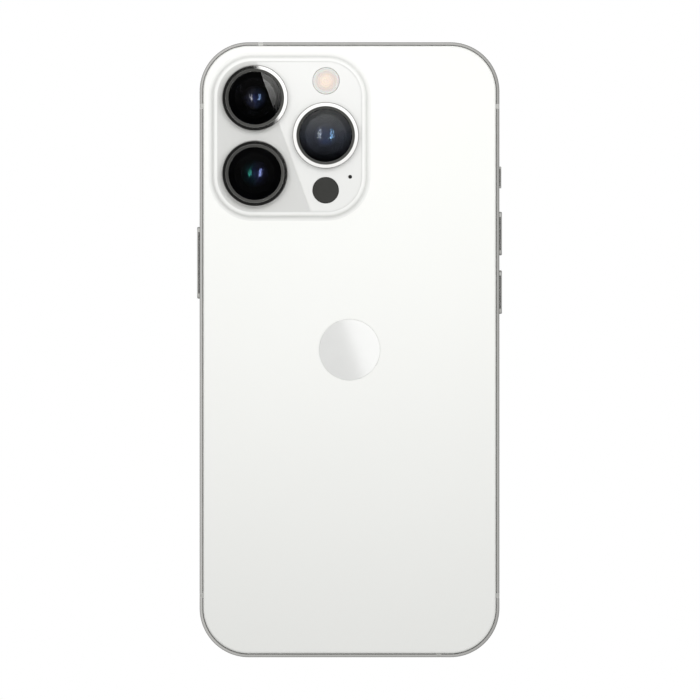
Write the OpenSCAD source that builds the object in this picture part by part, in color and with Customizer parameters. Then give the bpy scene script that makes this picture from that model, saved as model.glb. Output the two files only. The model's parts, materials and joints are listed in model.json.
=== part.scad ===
// Smartphone with three rear cameras, modelled piece by piece.
// Upright: +Z is up, the back faces -Y, the display faces +Y, and +X is on the right seen from the back.
// The origin is the middle of the bottom edge, at the mouth of the charge port.

/* [Body] */
// Width across the side rails
body_w = 71.5; // [71.5:0.1:72.5]
// Height from the bottom edge to the top edge
body_h = 146.7; // [146.7:0.1:147.7]
// Thickness from the back glass to the front glass
body_t = 7.65; // [7.65:0.05:7.75]
// Radius of the body's corners
corner_r = 11.7; // [11.5:0.1:12]
// Thickness of the steel band's wall
band_wall = 1.5; // [1.45:0.05:1.5]
// Radius of the band's front and back edges
band_edge_r = 0.75; // [0.6:0.05:0.75]
// Thickness of the front and back glass
glass_t = 0.775; // [0.7:0.025:0.8]
// Radius of the outer edge of each glass
glass_edge_r = 0.6; // [0.4:0.05:0.65]

/* [Antenna breaks] */
// Width of each plastic break in the band
break_w = 1.1; // [0.8:0.1:1.4]
// Height of the two upper side breaks
break_high_z = 131.4; // [129:0.1:132]
// Height of the two lower side breaks
break_low_z = 14.7; // [14:0.1:17]
// Place of the top break, left of the middle
break_top_x = -21.2; // [-22:0.1:-18]
// Place of the bottom break, right of the middle
break_bottom_x = 21.3; // [20.5:0.1:22]

/* [Camera plateau] */
// Left edge of the plateau's foot
plateau_left = -33.66; // [-33.8:0.1:-33]
// Right edge of the plateau's foot
plateau_right = 5.07; // [4.5:0.1:7]
// Lower edge of the plateau's foot
plateau_low = 104.1; // [103.6:0.1:104.2]
// Upper edge of the plateau's foot
plateau_high = 144.3; // [143.8:0.1:144.4]
// Corner radius of the plateau's foot
plateau_r = 10.6; // [9:0.1:11]
// Height of the plateau above the back glass
plateau_h = 1.75; // [1.6:0.05:1.8]
// Width of the S-shaped blend around the plateau
blend_w = 2.6; // [2.2:0.1:2.6]

/* [Cameras] */
// Place across of the telephoto and wide cameras
left_camera_x = -22.6; // [-22.8:0.1:-22.4]
// Place across of the ultra-wide camera
right_camera_x = -5.7; // [-5.9:0.1:-5.5]
// Height of the telephoto camera
telephoto_z = 133.4; // [133.3:0.1:133.6]
// Height of the wide camera
wide_z = 115.4; // [115.2:0.1:115.6]
// Height of the ultra-wide camera
ultrawide_z = 124.5; // [124.3:0.1:124.7]
// Outer radius of each lens ring
ring_r = 7.95; // [7.8:0.05:8]
// Radius of each cover glass
cover_r = 6.3; // [6.2:0.05:6.4]
// How far a lens ring stands above the plateau
ring_h = 1.82; // [1.6:0.02:1.9]

/* [Buttons] */
// How far the push buttons stand out
button_proud = 0.6; // [0.4:0.05:0.8]
// Width of the push buttons, front to back
button_w = 2.9; // [2.6:0.1:3]
// Height of the side button's middle
side_button_z = 94.1; // [93:0.1:96]
// Length of the side button
side_button_len = 17.1; // [15:0.1:18]
// Height of the volume-up button's middle
volume_up_z = 101.06; // [100.9:0.01:101.3]
// Height of the volume-down button's middle
volume_down_z = 87.1; // [86.8:0.1:87.3]
// Length of the volume buttons
volume_len = 10.4; // [10:0.1:10.6]
// Height of the ring switch's middle
ring_switch_z = 114.45; // [114.3:0.05:114.6]
// Length of the ring switch's lever
ring_switch_len = 5.2; // [4.6:0.1:5.4]

/* [Card tray] */
// Height of the tray's middle
tray_z = 63; // [62.8:0.1:63.2]
// Length of the tray's face
tray_len = 15; // [14.6:0.1:15.2]
// Width of the tray's face, front to back
tray_w = 2.4; // [2.2:0.1:2.5]

/* [Hidden] */
$fn = 96;

// Clearance between pieces that are glued or clipped together
gap = 0.05;
half_w = body_w / 2;
half_t = body_t / 2;
// Depth of each glass's inner face
glass_in = half_t - glass_t;
// Depth of the band's wall behind each glass, and where its rounded edge starts
seat_y = glass_in - gap;
edge_y = seat_y - 0.1;
// Middle of the corner arcs
corner_x = half_w - corner_r;
corner_high = body_h - corner_r;
glass_inset = band_edge_r + gap;
glass_r = corner_r - glass_inset;

// Chassis: a ring against the inside of the band, and a thin plate behind the back glass
chassis_out = band_wall + 0.03;
chassis_in = 2.7;
chassis_back = -glass_in + 0.07;
chassis_front = 1.9;
midplate_front = chassis_back + 0.4;

telephoto_at = [left_camera_x, telephoto_z];
wide_at = [left_camera_x, wide_z];
ultrawide_at = [right_camera_x, ultrawide_z];
camera_places = [telephoto_at, wide_at, ultrawide_at];
flash_at = [-5.6, 137.5];
depth_at = [-5.7, 111.4];
rear_mic_at = [0.15, 114.6];
lens_bore_r = 7.5;
lens_neck_r = lens_bore_r - gap;
housing_neck_r = 6.2;
barrel_r = 5.2;
// Thickness of a cover glass, how far it sits below its ring, and the width of the ring's inner bevel
cover_t = 0.6;
cover_sunk = 0.25;
ring_bevel_w = 0.65;
flash_r = 3.15;
depth_window_r = 3.1;
rear_mic_r = 0.45;
plateau_top = half_t + plateau_h;
ring_top = plateau_top + ring_h;
// The blend meets the glass at a small angle instead of dying out in a cusp
blend_sink = 0.03;
// How deep the plateau is rooted in the back glass
plateau_root = 0.4;
blend_angle = 2 * atan((plateau_h + blend_sink) / blend_w);
blend_r = blend_w / (2 * sin(blend_angle));
blend_spread = sqrt(2 * blend_r * blend_sink - blend_sink * blend_sink);

// Charging coil and mark, in the middle of the back
coil_at = [0, 73.35];
mark_r = 7.3;
mark_depth = 0.12;

// Push buttons: a retaining flange behind the wall, and a dome switch behind the flange
button_gap = 0.05;
flange_t = 0.4;
flange_x = half_w - band_wall - 0.1;
switch_x = flange_x - flange_t - 0.35;
flex_x = 32.3;

// Bottom edge
screw_x = 7.3;
grille_r = 0.72;
grille_pitch = 2.1;
speaker_holes = [for (i = [0 : 5]) -12 - i * grille_pitch];
microphone_holes = [for (i = [0 : 3]) 12 + i * grille_pitch];

// Box from its low corner to its high corner
module block(low, high) {
    translate(low) cube(high - low);
}

// Disc about an axis along Y
module disc(at, r, y0, y1) {
    translate([at[0], y1, at[1]]) rotate([90, 0, 0]) cylinder(r = r, h = y1 - y0);
}

module rounded_rect(x0, x1, y0, y1, r) {
    translate([x0 + r, y0]) square([x1 - x0 - 2 * r, y1 - y0]);
    translate([x0, y0 + r]) square([x1 - x0, y1 - y0 - 2 * r]);
    for (x = [x0 + r, x1 - r]) for (y = [y0 + r, y1 - r]) translate([x, y]) circle(r);
}

// Rounded plate in the XZ plane, from depth y0 to depth y1
module plate(x0, x1, z0, z1, r, y0, y1) {
    translate([0, y1, 0]) rotate([90, 0, 0]) linear_extrude(y1 - y0) rounded_rect(x0, x1, z0, z1, r);
}

// Rounded key through a side wall, from x0 to x1
module side_key(x0, x1, y0, y1, z0, z1, r) {
    translate([x0, 0, 0]) rotate([90, 0, 90]) linear_extrude(x1 - x0) rounded_rect(y0, y1, z0, z1, r);
}

// Key with round ends through a side wall
module stadium_key(x0, x1, z, len, wide) {
    half = (len - wide) / 2;
    for (end = [z - half, z + half])
        translate([x0, 0, end]) rotate([0, 90, 0]) cylinder(d = wide, h = x1 - x0);
    block([x0, -wide / 2, z - half], [x1, wide / 2, z + half]);
}

// Key with round ends through the bottom wall
module stadium_post(z0, z1, len, wide) {
    half = (len - wide) / 2;
    for (x = [-half, half]) translate([x, 0, z0]) cylinder(d = wide, h = z1 - z0);
    block([-half, -wide / 2, z0], [half, wide / 2, z1]);
}

// A section swept round a quarter turn: 0 bottom right, 1 bottom left, 2 top left, 3 top right.
// A section's x runs outwards from the middle of the corner, and its y is depth.
module corner_run(k, x, z) {
    translate([x, 0, z]) rotate([-90, 0, 0]) rotate([0, 0, 90 * k]) rotate_extrude(angle = 90) children();
}

module side_run(side, x, z0, z1) {
    translate([side * x, 0, z0]) mirror([side < 0 ? 1 : 0, 0, 0]) linear_extrude(z1 - z0) children();
}

module top_run(z, x0, x1) {
    translate([x1, 0, z]) rotate([0, -90, 0]) linear_extrude(x1 - x0) children();
}

module bottom_run(z, x0, x1) {
    translate([x0, 0, z]) rotate([0, 90, 0]) linear_extrude(x1 - x0) children();
}

// A section swept all round a rounded rectangle
module edge_sweep(x0, x1, z0, z1, r) {
    corner_run(0, x1 - r, z0 + r) children();
    corner_run(1, x0 + r, z0 + r) children();
    corner_run(2, x0 + r, z1 - r) children();
    corner_run(3, x1 - r, z1 - r) children();
    translate([x1 - r, 0, z0 + r]) linear_extrude(z1 - z0 - 2 * r) children();
    translate([x0 + r, 0, z0 + r]) mirror([1, 0, 0]) linear_extrude(z1 - z0 - 2 * r) children();
    top_run(z1 - r, x0 + r, x1 - r) children();
    bottom_run(z0 + r, x0 + r, x1 - r) children();
}

// A ring that follows the body's outline, between two distances in from it
module inset_ring(out, in, y0, y1) {
    edge_sweep(-half_w, half_w, 0, body_h, corner_r)
        translate([corner_r - in, y0]) square([in - out, y1 - y0]);
}

// The band's wall, with a lip round each glass and a rounded outer edge
module band_section() {
    translate([corner_r - band_wall, -edge_y]) square([band_wall, 2 * edge_y]);
    translate([corner_r - band_wall, -seat_y]) square([band_wall - band_edge_r, 2 * seat_y]);
    for (side = [-1, 1]) intersection() {
        translate([corner_r - band_edge_r, side * edge_y]) circle(band_edge_r);
        translate([corner_r - band_edge_r, side > 0 ? edge_y : -edge_y - band_edge_r]) square(band_edge_r);
    }
}

// One glass's edge, as thick as the glass and rounded on the outside
module glass_section() {
    translate([0, glass_in]) square([glass_r - glass_edge_r, glass_t]);
    translate([0, glass_in]) square([glass_r, glass_t - glass_edge_r]);
    intersection() {
        translate([glass_r - glass_edge_r, half_t - glass_edge_r]) circle(glass_edge_r);
        translate([glass_r - glass_edge_r, half_t - glass_edge_r]) square(glass_edge_r);
    }
}

module glass_plate() {
    edge_sweep(-half_w + glass_inset, half_w - glass_inset, glass_inset, body_h - glass_inset, glass_r)
        glass_section();
    block([-corner_x, glass_in, corner_r], [corner_x, half_t, corner_high]);
}

// The plateau's edge: a convex arc off its top, then a concave arc into the glass
module blend_section(r) {
    translate([0, -plateau_root]) square([r - blend_w, plateau_h + plateau_root]);
    translate([r - blend_w, -plateau_root]) square([blend_w / 2, plateau_h - blend_r + plateau_root]);
    intersection() {
        translate([r - blend_w, plateau_h - blend_r]) circle(blend_r);
        translate([r - blend_w, plateau_h - blend_r]) square([blend_w / 2, blend_r]);
    }
    difference() {
        translate([r - blend_w / 2, -plateau_root])
            square([blend_w / 2, (plateau_h - blend_sink) / 2 + plateau_root]);
        translate([r, blend_r - blend_sink]) circle(blend_r);
    }
}

module plateau() {
    r = plateau_r + blend_spread;
    left = plateau_left - blend_spread;
    right = plateau_right + blend_spread;
    low = plateau_low - blend_spread;
    high = plateau_high + blend_spread;
    translate([0, -half_t, 0]) mirror([0, 1, 0]) {
        edge_sweep(left, right, low, high, r) blend_section(r);
        block([left + r, -plateau_root, low + r], [right - r, plateau_h, high - r]);
    }
}

module back_glass() {
    color("whitesmoke") difference() {
        union() {
            mirror([0, 1, 0]) glass_plate();
            plateau();
        }
        for (at = camera_places) disc(at, lens_bore_r, -9, 0);
        disc(flash_at, flash_r + gap, -9, 0);
        disc(depth_at, depth_window_r + gap, -9, 0);
        disc(rear_mic_at, rear_mic_r, -9, 0);
        disc(coil_at, mark_r + gap, -9, -half_t + mark_depth + 0.02);
    }
}

module back_mark_disc() {
    color("gainsboro") disc(coil_at, mark_r, -half_t, -half_t + mark_depth);
}

module band_top() {
    color("silver") {
        top_run(corner_high, break_top_x + break_w / 2, corner_x) band_section();
        corner_run(3, corner_x, corner_high) band_section();
        side_run(1, corner_x, break_high_z + break_w / 2, corner_high) band_section();
    }
}

module band_right() {
    color("silver") difference() {
        side_run(1, corner_x, break_low_z + break_w / 2, break_high_z - break_w / 2) band_section();
        for (z = [volume_up_z, volume_down_z])
            stadium_key(half_w - 3, half_w + 1, z, volume_len + 2 * button_gap, button_w + 2 * button_gap);
        ring_switch_slot();
        stadium_key(half_w - 3, half_w + 1, tray_z, tray_len + 2 * button_gap, tray_w + 2 * button_gap);
    }
}

module ring_switch_slot() {
    half = ring_switch_len / 2 + 0.15;
    side_key(half_w - 3, half_w + 1, -1.45, 1.45, ring_switch_z - half, ring_switch_z + half, 0.7);
}

module band_bottom() {
    color("silver") difference() {
        union() {
            bottom_run(corner_r, -corner_x, break_bottom_x - break_w / 2) band_section();
            corner_run(1, -corner_x, corner_r) band_section();
            side_run(-1, corner_x, corner_r, break_low_z - break_w / 2) band_section();
        }
        stadium_post(-1, 3, 8.4, 2.7);
        for (x = concat(speaker_holes, microphone_holes)) translate([x, 0, -1]) cylinder(r = grille_r, h = 4);
        for (x = [-screw_x, screw_x]) {
            translate([x, 0, -1]) cylinder(r = 0.85, h = 1.9);
            translate([x, 0, -1]) cylinder(r = 0.55, h = 4);
        }
    }
}

module band_left() {
    color("silver") difference() {
        side_run(-1, corner_x, break_low_z + break_w / 2, break_high_z - break_w / 2) band_section();
        mirror([1, 0, 0]) stadium_key(half_w - 3, half_w + 1, side_button_z,
            side_button_len + 2 * button_gap, button_w + 2 * button_gap);
    }
}

module band_corner_top_left() {
    color("silver") {
        top_run(corner_high, -corner_x, break_top_x - break_w / 2) band_section();
        corner_run(2, -corner_x, corner_high) band_section();
        side_run(-1, corner_x, break_high_z + break_w / 2, corner_high) band_section();
    }
}

module band_corner_bottom_right() {
    color("silver") {
        bottom_run(corner_r, break_bottom_x + break_w / 2, corner_x) band_section();
        corner_run(0, corner_x, corner_r) band_section();
        side_run(1, corner_x, corner_r, break_low_z - break_w / 2) band_section();
    }
}

module antenna_inserts() {
    half = break_w / 2 - 0.01;
    color("ghostwhite") {
        for (side = [-1, 1]) for (z = [break_low_z, break_high_z])
            side_run(side, corner_x, z - half, z + half) band_section();
        top_run(corner_high, break_top_x - half, break_top_x + half) band_section();
        bottom_run(corner_r, break_bottom_x - half, break_bottom_x + half) band_section();
    }
}

// Windows through the chassis ring behind a push button on the right side
module button_window(z, len) {
    block([32.5, -2.4, z - len / 2 - 1.3], [35, 1.85, z + len / 2 + 1.3]);
}

// Posts that the camera bracket is screwed to
bracket_posts = [[-28, 104.2], [-10, 104.2], [5.2, 118]];
post_top = 1.38;

module chassis() {
    color("lightsteelblue") difference() {
        union() {
            inset_ring(chassis_out, chassis_in, chassis_back, chassis_front);
            difference() {
                plate(-33.5, 33.5, 2.25, body_h - 2.25, 9.5, chassis_back, midplate_front);
                disc(coil_at, 28.5, -4, 0);
                block([-3.4, -4, 34], [3.4, 0, 46]);
                block([-31.5, -4, 105.5], [4, 0, 142.5]);
            }
            for (at = bracket_posts) disc(at, 0.95, chassis_back, post_top);
        }
        for (at = bracket_posts) disc(at, 0.4, 0, 3);
        mirror([1, 0, 0]) button_window(side_button_z, side_button_len);
        button_window(volume_up_z, volume_len);
        button_window(volume_down_z, volume_len);
        block([32.5, -2.55, ring_switch_z - 3.6], [35, 1.85, ring_switch_z + 3.6]);
        block([32.5, -1.1, 58.2], [35, 1.1, 70]);
        translate([32.5, 0, tray_z - 6]) rotate([0, 90, 0]) cylinder(r = 0.5, h = 3);
        block([-5, -2, 1], [5, 2, 3]);
        block([-23.6, -1.5, 1], [-11, 1.5, 3]);
        block([11, -1, 1], [19.5, 1, 3]);
        for (x = [-screw_x, screw_x]) translate([x, 0, 1]) cylinder(r = 0.5, h = 2);
    }
}

earpiece_z = 144.2;

module front_glass() {
    color("black") difference() {
        glass_plate();
        plate(-5.5, 5.5, earpiece_z - 0.5, earpiece_z + 0.5, 0.45, 2, 5);
    }
}

// The lit area, with a notch at the top for the front camera and sensors
notch_half_w = 13.6;
notch_z = 137;

module display_panel() {
    color("midnightblue") difference() {
        plate(-32.4, 32.4, 3.35, body_h - 3.35, 8.4, 2.13, glass_in - gap);
        block([-notch_half_w, 1, notch_z], [notch_half_w, 4, body_h]);
    }
}

front_camera_at = [9.5, 139.7];
face_sensor_places = [[-9.8, 139.7], [-4.6, 139.7], [1.2, 139.7]];
sensor_window_r = [1.7, 1.2, 1.5];

module display_bezel() {
    color("dimgray") difference() {
        union() {
            inset_ring(1.6, 3.3, 2.15, glass_in - gap);
            block([-notch_half_w + 0.1, 2.6, notch_z + 0.1], [notch_half_w - 0.1, glass_in - gap, 143.6]);
        }
        disc(front_camera_at, 1.9, 2, 4);
        for (i = [0 : 2]) disc(face_sensor_places[i], sensor_window_r[i] + 0.1, 2, 4);
        block([-5.7, 2, 142.8], [5.7, 4, 144.85]);
    }
}

module display_shield() {
    color("slategray") plate(-32, 32, 3.7, notch_z - 0.2, 8, 1.95, 2.1);
}

module display_gasket() {
    color("black") inset_ring(1.6, 2.6, chassis_front + 0.01, 2.12);
}

module acoustic_meshes() {
    color("darkslategray") {
        plate(-5.4, 5.4, earpiece_z - 0.42, earpiece_z + 0.42, 0.4, 3.1, 3.25);
        block([-23.3, -0.95, 1.6], [-11.2, 0.95, 1.75]);
        block([11.2, -0.95, 1.6], [19.3, 0.95, 1.75]);
    }
}

// A push button on the right side: its cap through the wall and the flange that keeps it in
module push_button(z, len) {
    stadium_key(flange_x - 0.1, half_w + button_proud, z, len, button_w);
    block([flange_x - flange_t, -2.1, z - len / 2 - 0.9], [flange_x, 1.6, z + len / 2 + 0.9]);
}

module side_button() {
    color("silver") mirror([1, 0, 0]) push_button(side_button_z, side_button_len);
}

module volume_up_button() {
    color("silver") push_button(volume_up_z, volume_len);
}

module volume_down_button() {
    color("silver") push_button(volume_down_z, volume_len);
}

module ring_switch() {
    half = ring_switch_len / 2;
    color("silver") {
        side_key(34, half_w + 0.45, -0.1, 1.35, ring_switch_z - half, ring_switch_z + half, 0.6);
        block([33.6, -1.3, ring_switch_z - 3.2], [34.13, 1.8, ring_switch_z + 3.2]);
    }
}

module dome_switch(z) {
    translate([flex_x, 0, z]) rotate([0, 90, 0]) cylinder(r = 1.1, h = 0.6);
    translate([flex_x, 0, z]) rotate([0, 90, 0]) cylinder(r = 0.6, h = switch_x - flex_x);
}

module button_switches() {
    color("orange") {
        block([flex_x, -1.5, volume_down_z - 6], [flex_x + 0.25, 1.5, ring_switch_z + 3]);
        for (z = [volume_up_z, volume_down_z]) dome_switch(z);
        block([flex_x, -2.2, ring_switch_z - 3.4], [33.5, 1.75, ring_switch_z + 3.4]);
        mirror([1, 0, 0]) {
            block([flex_x, -1.5, side_button_z - 8], [flex_x + 0.25, 1.5, side_button_z + 8]);
            dome_switch(side_button_z);
        }
    }
}

card_low = [21, -0.15, 59.7];
card_high = [33.3, 0.52, 68.5];

module sim_tray() {
    pocket = 0.1;
    color("silver") difference() {
        union() {
            stadium_key(34.3, half_w, tray_z, tray_len, tray_w);
            block([20.3, -0.8, 58.6], [34.4, 0.8, 69.6]);
        }
        block([card_low[0] - pocket, -0.2, card_low[2] - pocket],
            [card_high[0] + pocket, 1, card_high[2] + pocket]);
        block([23, -1, 61], [31, 0, 67.2]);
        translate([34, 0, tray_z - 6]) rotate([0, 90, 0]) cylinder(r = 0.45, h = 3);
    }
}

module sim_card() {
    corner_cut = 1.7;
    color("white") difference() {
        block(card_low, card_high);
        translate([card_low[0], -1, card_high[2]]) rotate([0, 45, 0])
            cube([2 * corner_cut, 3, sqrt(2) * corner_cut], center = true);
    }
}

module sim_reader() {
    color("lightgray") difference() {
        block([19.3, -1.75, 57.6], [32.9, 1.15, 70.6]);
        block([19.8, -0.95, 58.3], [34, 0.95, 69.9]);
        block([22, 0, 60], [30, 2, 68]);
    }
}

// A lens ring: a flange on the plateau, a bevel down to the cover glass, and a neck in the glass's bore
module lens_ring(at) {
    foot = plateau_top + 0.02;
    neck_low = half_t - 0.6;
    inner_r = housing_neck_r + 0.1;
    edge = 0.2;
    seat_r = cover_r - 0.45;
    seat_top = ring_top - cover_sunk - cover_t - gap;
    seat_low = 5.3;
    color("lightgray") translate([at[0], 0, at[1]]) rotate([90, 0, 0]) rotate_extrude() polygon([
        [inner_r, neck_low], [lens_neck_r, neck_low], [lens_neck_r, foot], [ring_r, foot],
        [ring_r, ring_top - edge], [ring_r - edge, ring_top], [cover_r + ring_bevel_w, ring_top],
        [cover_r + gap, ring_top - cover_sunk], [cover_r + gap, seat_top], [seat_r, seat_top],
        [seat_r, seat_low], [inner_r, seat_low]
    ]);
}

module cover_glass(at) {
    color("black") disc(at, cover_r, -(ring_top - cover_sunk), -(ring_top - cover_sunk - cover_t));
}

// A camera module's housing: a square box, with a neck inside the lens ring
module camera_housing(at) {
    half = 7.1;
    color("darkgray") difference() {
        union() {
            block([at[0] - half, -glass_in + 0.1, at[1] - half], [at[0] + half, 0.9, at[1] + half]);
            disc(at, housing_neck_r, -5.2, -glass_in + 0.1);
        }
        disc(at, barrel_r + 0.2, -6, 0.5);
    }
}

// A lens barrel: the moving cylinder, with the domed front element in a conical mouth
module lens_barrel(at, mouth_r, element_r, dome_r) {
    low = -0.3;
    top = 5.6;
    element_top = 5.2;
    mouth_floor = 4.4;
    color("black") translate([at[0], 0, at[1]]) rotate([90, 0, 0]) {
        difference() {
            translate([0, 0, low]) cylinder(r = barrel_r, h = top - low);
            translate([0, 0, mouth_floor])
                cylinder(r1 = element_r, r2 = mouth_r, h = top - mouth_floor + 0.01);
        }
        intersection() {
            translate([0, 0, mouth_floor - 0.1]) cylinder(r = element_r + 0.05, h = 2);
            translate([0, 0, element_top - dome_r]) sphere(r = dome_r);
        }
    }
}

module telephoto_lens_ring() lens_ring(telephoto_at);
module wide_lens_ring() lens_ring(wide_at);
module ultrawide_lens_ring() lens_ring(ultrawide_at);
module telephoto_cover_glass() cover_glass(telephoto_at);
module wide_cover_glass() cover_glass(wide_at);
module ultrawide_cover_glass() cover_glass(ultrawide_at);
module telephoto_camera() camera_housing(telephoto_at);
module wide_camera() camera_housing(wide_at);
module ultrawide_camera() camera_housing(ultrawide_at);
module telephoto_barrel() lens_barrel(telephoto_at, 4.6, 2.4, 6.3);
module wide_barrel() lens_barrel(wide_at, 4.6, 3.2, 9.5);
module ultrawide_barrel() lens_barrel(ultrawide_at, 4.4, 2.8, 12);

module camera_sensor_boards() {
    half = 6.6;
    color("darkgreen") for (at = camera_places)
        block([at[0] - half, 0.93, at[1] - half], [at[0] + half, 1.36, at[1] + half]);
}

module flash_lens() {
    color("moccasin") disc(flash_at, flash_r, -plateau_top, -plateau_top + 0.95);
}

module flash_led() {
    color("khaki") {
        disc(flash_at, 2.6, -plateau_top + 1.0, -glass_in + 0.1);
        block([flash_at[0] - 3, -glass_in + 0.1, flash_at[1] - 3], [flash_at[0] + 3, -2, flash_at[1] + 3]);
    }
}

module depth_sensor_window() {
    color("dimgray") disc(depth_at, depth_window_r, -plateau_top, -plateau_top + 0.68);
}

module depth_sensor_module() {
    color("darkgray") {
        disc(depth_at, 2.9, -plateau_top + 0.73, -glass_in + 0.1);
        block([depth_at[0] - 3.7, -glass_in + 0.1, depth_at[1] - 4.2],
            [depth_at[0] + 3.7, 0.5, depth_at[1] + 4.2]);
    }
}

module rear_microphone() {
    color("goldenrod") difference() {
        disc(rear_mic_at, 1.5, -glass_in + 0.05, -1.8);
        disc(rear_mic_at, 0.3, -4, -2.1);
    }
}

module camera_bracket() {
    y0 = post_top + 0.02;
    y1 = y0 + 0.3;
    color("silver") difference() {
        union() {
            block([-30, y0, 107], [3, y1, 133]);
            block([-30, y0, 133], [-15, y1, 141]);
            block([-29.2, y0, 103], [-26.8, y1, 107]);
            block([-11.2, y0, 103], [-8.8, y1, 107]);
            block([3, y0, 116.8], [6.4, y1, 119.2]);
        }
        for (at = bracket_posts) disc(at, 0.45, 1, 3);
        plate(-27, -19, 123, 126, 1, 1, 3);
    }
}

module bracket_screws() {
    color("gray") for (at = bracket_posts) difference() {
        union() {
            disc(at, 0.35, 0.2, post_top + 0.34);
            disc(at, 0.8, post_top + 0.34, 1.88);
        }
        translate([at[0] - 0.5, 1.8, at[1] - 0.1]) cube([1, 1, 0.2]);
        translate([at[0] - 0.1, 1.8, at[1] - 0.5]) cube([0.2, 1, 1]);
    }
}

module front_camera() {
    color("black") {
        block([6.8, -1.8, 137.3], [12.2, 1.5, 142.1]);
        disc(front_camera_at, 1.75, 1.5, 2.95);
    }
}

module face_sensor() {
    color("darkslateblue") {
        block([-13, -1.8, 137.3], [4, 1.4, 142.1]);
        for (i = [0 : 2]) disc(face_sensor_places[i], sensor_window_r[i], 1.4, 2.95);
    }
}

module earpiece_speaker() {
    color("darkgray") difference() {
        union() {
            block([-5.8, -1.6, 142.3], [5.8, 2.15, 143.9]);
            block([-5.6, 2.15, 142.9], [5.6, 3.02, 144.8]);
        }
        block([-5.3, -1, 142.6], [5.3, 2.6, 143.6]);
        block([-5.3, 2.4, 143.2], [5.3, 4, 144.6]);
    }
}

module battery() {
    color("darkgray") {
        plate(-31.3, 14.5, 22.5, 102.6, 1.5, -2.4, 1.6);
        plate(-31.3, 32, 22.5, 48, 1.5, -2.4, 1.6);
    }
}

// Low and high corners of each chip on the upper board, with its height above the board
chips = [
    [19, 80, 29, 90, 0.8], [19, 93, 28, 100, 0.7], [10, 108, 22, 121, 0.9], [24, 108, 30, 117, 0.7],
    [12, 124, 20, 132, 0.7]
];

// Two stacked boards joined by a frame, with the chips on the upper one
module board_outline(y0, y1, inset, low) {
    block([16.5 + inset, y0, low + inset], [31.8 - inset, y1, 136 - inset]);
    block([7 + inset, y0, 104 + inset], [31.8 - inset, y1, 136 - inset]);
}

module logic_board() {
    color("darkgreen") {
        board_outline(-2.4, -1.8, 0, 50);
        difference() {
            board_outline(-1.8, -0.6, 0, 76);
            board_outline(-2, 0, 1.2, 76);
        }
        board_outline(-0.6, 0, 0, 76);
        for (c = chips) block([c[0], 0, c[1]], [c[2], c[4], c[3]]);
    }
}

module shield_can(x0, x1, z0, z1) {
    difference() {
        plate(x0, x1, z0, z1, 0.5, 0.03, 1.2);
        plate(x0 + 0.2, x1 - 0.2, z0 + 0.2, z1 - 0.2, 0.35, -1, 1);
    }
}

module board_shields() {
    color("silver") {
        shield_can(17.3, 31.3, 78, 102);
        shield_can(8, 31.3, 106.5, 134.5);
    }
}

module flex_cables() {
    color("darkorange") {
        // From the charge port, over the battery, to the board's lower end
        block([2, 1.64, 9.6], [5.5, 1.8, 30]);
        block([2, 1.64, 26.5], [20, 1.8, 30]);
        block([17, 1.64, 26.5], [20, 1.8, 52.3]);
        block([17, -1.78, 50.3], [20, 1.64, 52.3]);
        block([2, -1, 9.6], [5.5, 1.64, 9.8]);
        // From the battery to the board
        block([14.7, -1.78, 72], [16.4, 0.8, 75.8]);
        block([14.7, 0.6, 72], [19, 0.8, 75.8]);
        // From the display to the board
        block([22, -1.78, 51], [29, 1.8, 53.5]);
    }
}

module charging_coil() {
    color("peru") difference() {
        disc(coil_at, 20.5, -glass_in + 0.05, -2.6);
        disc(coil_at, 10.5, -4, 0);
    }
}

module magnet_ring() {
    segment = 17;
    color("dimgray") {
        translate([coil_at[0], -2.6, coil_at[1]]) rotate([90, 0, 0]) for (turn = [0 : 20 : 340])
            rotate([0, 0, turn]) rotate_extrude(angle = segment) translate([23, 0]) square([4.6, 0.4]);
        block([-2.5, -glass_in + 0.05, 35], [2.5, -2.6, 43.5]);
    }
}

module haptic_case() {
    color("silver") difference() {
        plate(6.5, 31, 7.5, 20.5, 1, -2.2, 1.6);
        plate(6.9, 30.6, 7.9, 20.1, 0.6, -1.8, 1.2);
    }
}

module haptic_mass() {
    color("gray") plate(10.5, 27, 8.6, 19.4, 0.5, -1.5, 0.9);
}

// A V-shaped leaf spring at each end of the mass, its arms leaning away from the middle of the case
module haptic_springs() {
    case_middle = 18.75;
    reach = 10.05;
    lean = 0.4;
    back = 0.1;
    leaf = [0.25, 1.4, 3.6];
    shear = [[1, 0, -lean, -back], [0, 1, 0, 0], [0, 0, 1, 0], [0, 0, 0, 1]];
    color("lightgray") for (side = [-1, 1]) translate([case_middle + side * reach, -1, 14]) for (half = [-1, 1])
        mirror([side < 0 ? 1 : 0, 0, 0]) mirror([0, 0, half < 0 ? 1 : 0]) multmatrix(shear) cube(leaf);
}

module loudspeaker_box() {
    color("darkslategray") difference() {
        union() {
            plate(-31, -7.5, 7, 20.5, 1, -2.2, 1.6);
            block([-23.5, -1.45, 1.9], [-11.1, 1.45, 8]);
        }
        difference() {
            plate(-30.5, -8, 7.5, 20, 0.6, -1.7, 1.1);
            block([-22.5, -1.7, 12.2], [-16.5, -0.8, 15.3]);
        }
        block([-23, -1, 1], [-11.6, 1, 8]);
    }
}

module speaker_diaphragm() {
    color("darkgray") difference() {
        union() {
            plate(-27, -12, 9.5, 18, 3, 0.3, 0.5);
            plate(-24, -15, 10.7, 16.8, 1, -0.5, 0.3);
        }
        plate(-23.4, -15.6, 11.3, 16.2, 0.6, -1, 0.3);
    }
}

module charge_port() {
    color("darkgray") difference() {
        block([-4.9, -1.85, 1.55], [4.9, 1.85, 9.5]);
        stadium_post(1, 8.3, 8.3, 2.6);
    }
    color("gold") for (i = [0 : 7]) block([-3 + 0.8 * i, -1.35, 4.5], [-2.6 + 0.8 * i, -1.15, 8.4]);
}

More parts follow.
